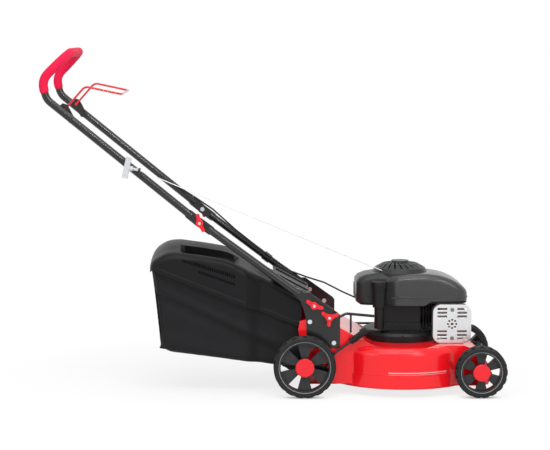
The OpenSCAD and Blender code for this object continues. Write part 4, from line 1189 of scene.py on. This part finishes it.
def make_backdrop():
    """A white dome that is seen directly and in gloss, and lets all other light through."""
    mesh = bmesh.new()
    bmesh.ops.create_icosphere(mesh, subdivisions=4, radius=30.0)
    data = finished_mesh(mesh, "backdrop")
    dome = new_object("backdrop", data)
    material = bpy.data.materials.new("Backdrop white")
    material.use_nodes = True
    tree = material.node_tree
    clear = add_node(tree, "BsdfTransparent")
    white = plain_white(tree)
    mix_shaders(tree, seen_directly(tree), clear.outputs["BSDF"], white.outputs["Emission"])
    data.materials.append(material)


def make_floor():
    """A white floor that keeps a share of the mower's shadow, with a painted contact shadow, darkest where
    something stands on it.
    """
    mesh = bpy.data.meshes.new("floor")
    reach = 25.0
    corners = [(-reach, -reach, 0), (reach, -reach, 0), (reach, reach, 0), (-reach, reach, 0)]
    mesh.from_pydata(corners, [], [(0, 1, 2, 3)])
    floor = new_object("floor", mesh)
    floor.location.z = -0.0005
    material, tree, shader = start_material("Studio floor", (0.9, 0.9, 0.9), 0.9)
    white = plain_white(tree)
    # Painted contact shadow: the white's strength drops where the floor is occluded close by.
    contact_occlusion = add_node(tree, "AmbientOcclusion", Distance=0.035)
    contact_occlusion.samples = 8
    painted_contact_shadow = ramp(tree, contact_occlusion.outputs["AO"], 0.05, 0.75)
    tree.links.new(spread(tree, painted_contact_shadow, 0.45, 1.0), white.inputs["Strength"])
    place = add_node(tree, "TexCoord")
    length = add_node(tree, "VectorMath")
    length.operation = "LENGTH"
    tree.links.new(place.outputs["Object"], length.inputs[0])
    away = spread(tree, ramp(tree, length.outputs["Value"], 0.55, 1.0), 0.80, 1.0)
    shown = calc(tree, "MULTIPLY", away, seen_directly(tree))
    mix_shaders(tree, shown, shader.outputs["BSDF"], white.outputs["Emission"])
    mesh.materials.append(material)


def make_world():
    """Even light from all round."""
    world = bpy.data.worlds.new("studio")
    bpy.context.scene.world = world
    world.use_nodes = True
    lit = world.node_tree.nodes["Background"]
    set_sockets(lit, {"Color": (1.0, 1.0, 1.0, 1.0), "Strength": 0.62})


def add_lamp(name, place, target, size, power, depth=None):
    """A soft lamp turned towards a point; square, or oblong when it has a depth."""
    lamp = bpy.data.lights.new(name, "AREA")
    lamp.size = size
    if depth:
        lamp.shape = "RECTANGLE"
        lamp.size_y = depth
    lamp.energy = power
    holder = new_object(name, lamp)
    holder.location = place
    holder.rotation_euler = (Vector(target) - Vector(place)).to_track_quat("-Z", "Y").to_euler()


def make_lamps():
    """A broad overhead lamp, soft side lamps and a row of small ones that show in gloss."""
    add_lamp("overhead", (0.2, -0.6, 2.9), (0.0, 0.0, 0.3), 2.0, 24)
    add_lamp("right side", (1.8, -3.0, 1.6), (0.1, 0.0, 0.35), 1.2, 14)
    add_lamp("left side", (-2.4, -2.4, 1.2), (-0.1, 0.0, 0.4), 1.2, 9)
    for k in range(4):
        place = (-0.9 + 0.75 * k, -1.9, 2.1)
        add_lamp(f"row {k + 1}", place, (0.1 + 0.1 * k, 0.0, 0.3), 0.50, 8, 0.10)


def make_camera():
    """Long lens, low on the mower's right side."""
    lens = bpy.data.cameras.new("camera")
    lens.lens = 117.19
    lens.sensor_width = 36.0
    holder = new_object("camera", lens)
    holder.location = (-0.10099, -5.28668, 1.04703)
    aim = Euler((math.radians(90 - 6.1356), 0.0, math.radians(-1.1253))).to_matrix()
    roll = Matrix.Rotation(math.radians(0.1693), 3, "Z")
    holder.rotation_euler = (aim @ roll).to_euler()
    bpy.context.scene.camera = holder


bpy.context.scene.view_settings.view_transform = "Standard"
dress_nodes()
smooth_solids()
make_camera()
make_starter_rope()
make_pulled_rope()
make_foam_grip()
make_catcher_cloth()
make_catcher_seams()
make_catcher_lid()
make_lid_shade_sheets()
make_engine_cover()
make_cover_lip()
make_fuel_tank()
make_fuel_cap()
make_trim()
make_world()
make_backdrop()
make_lamps()
make_floor()
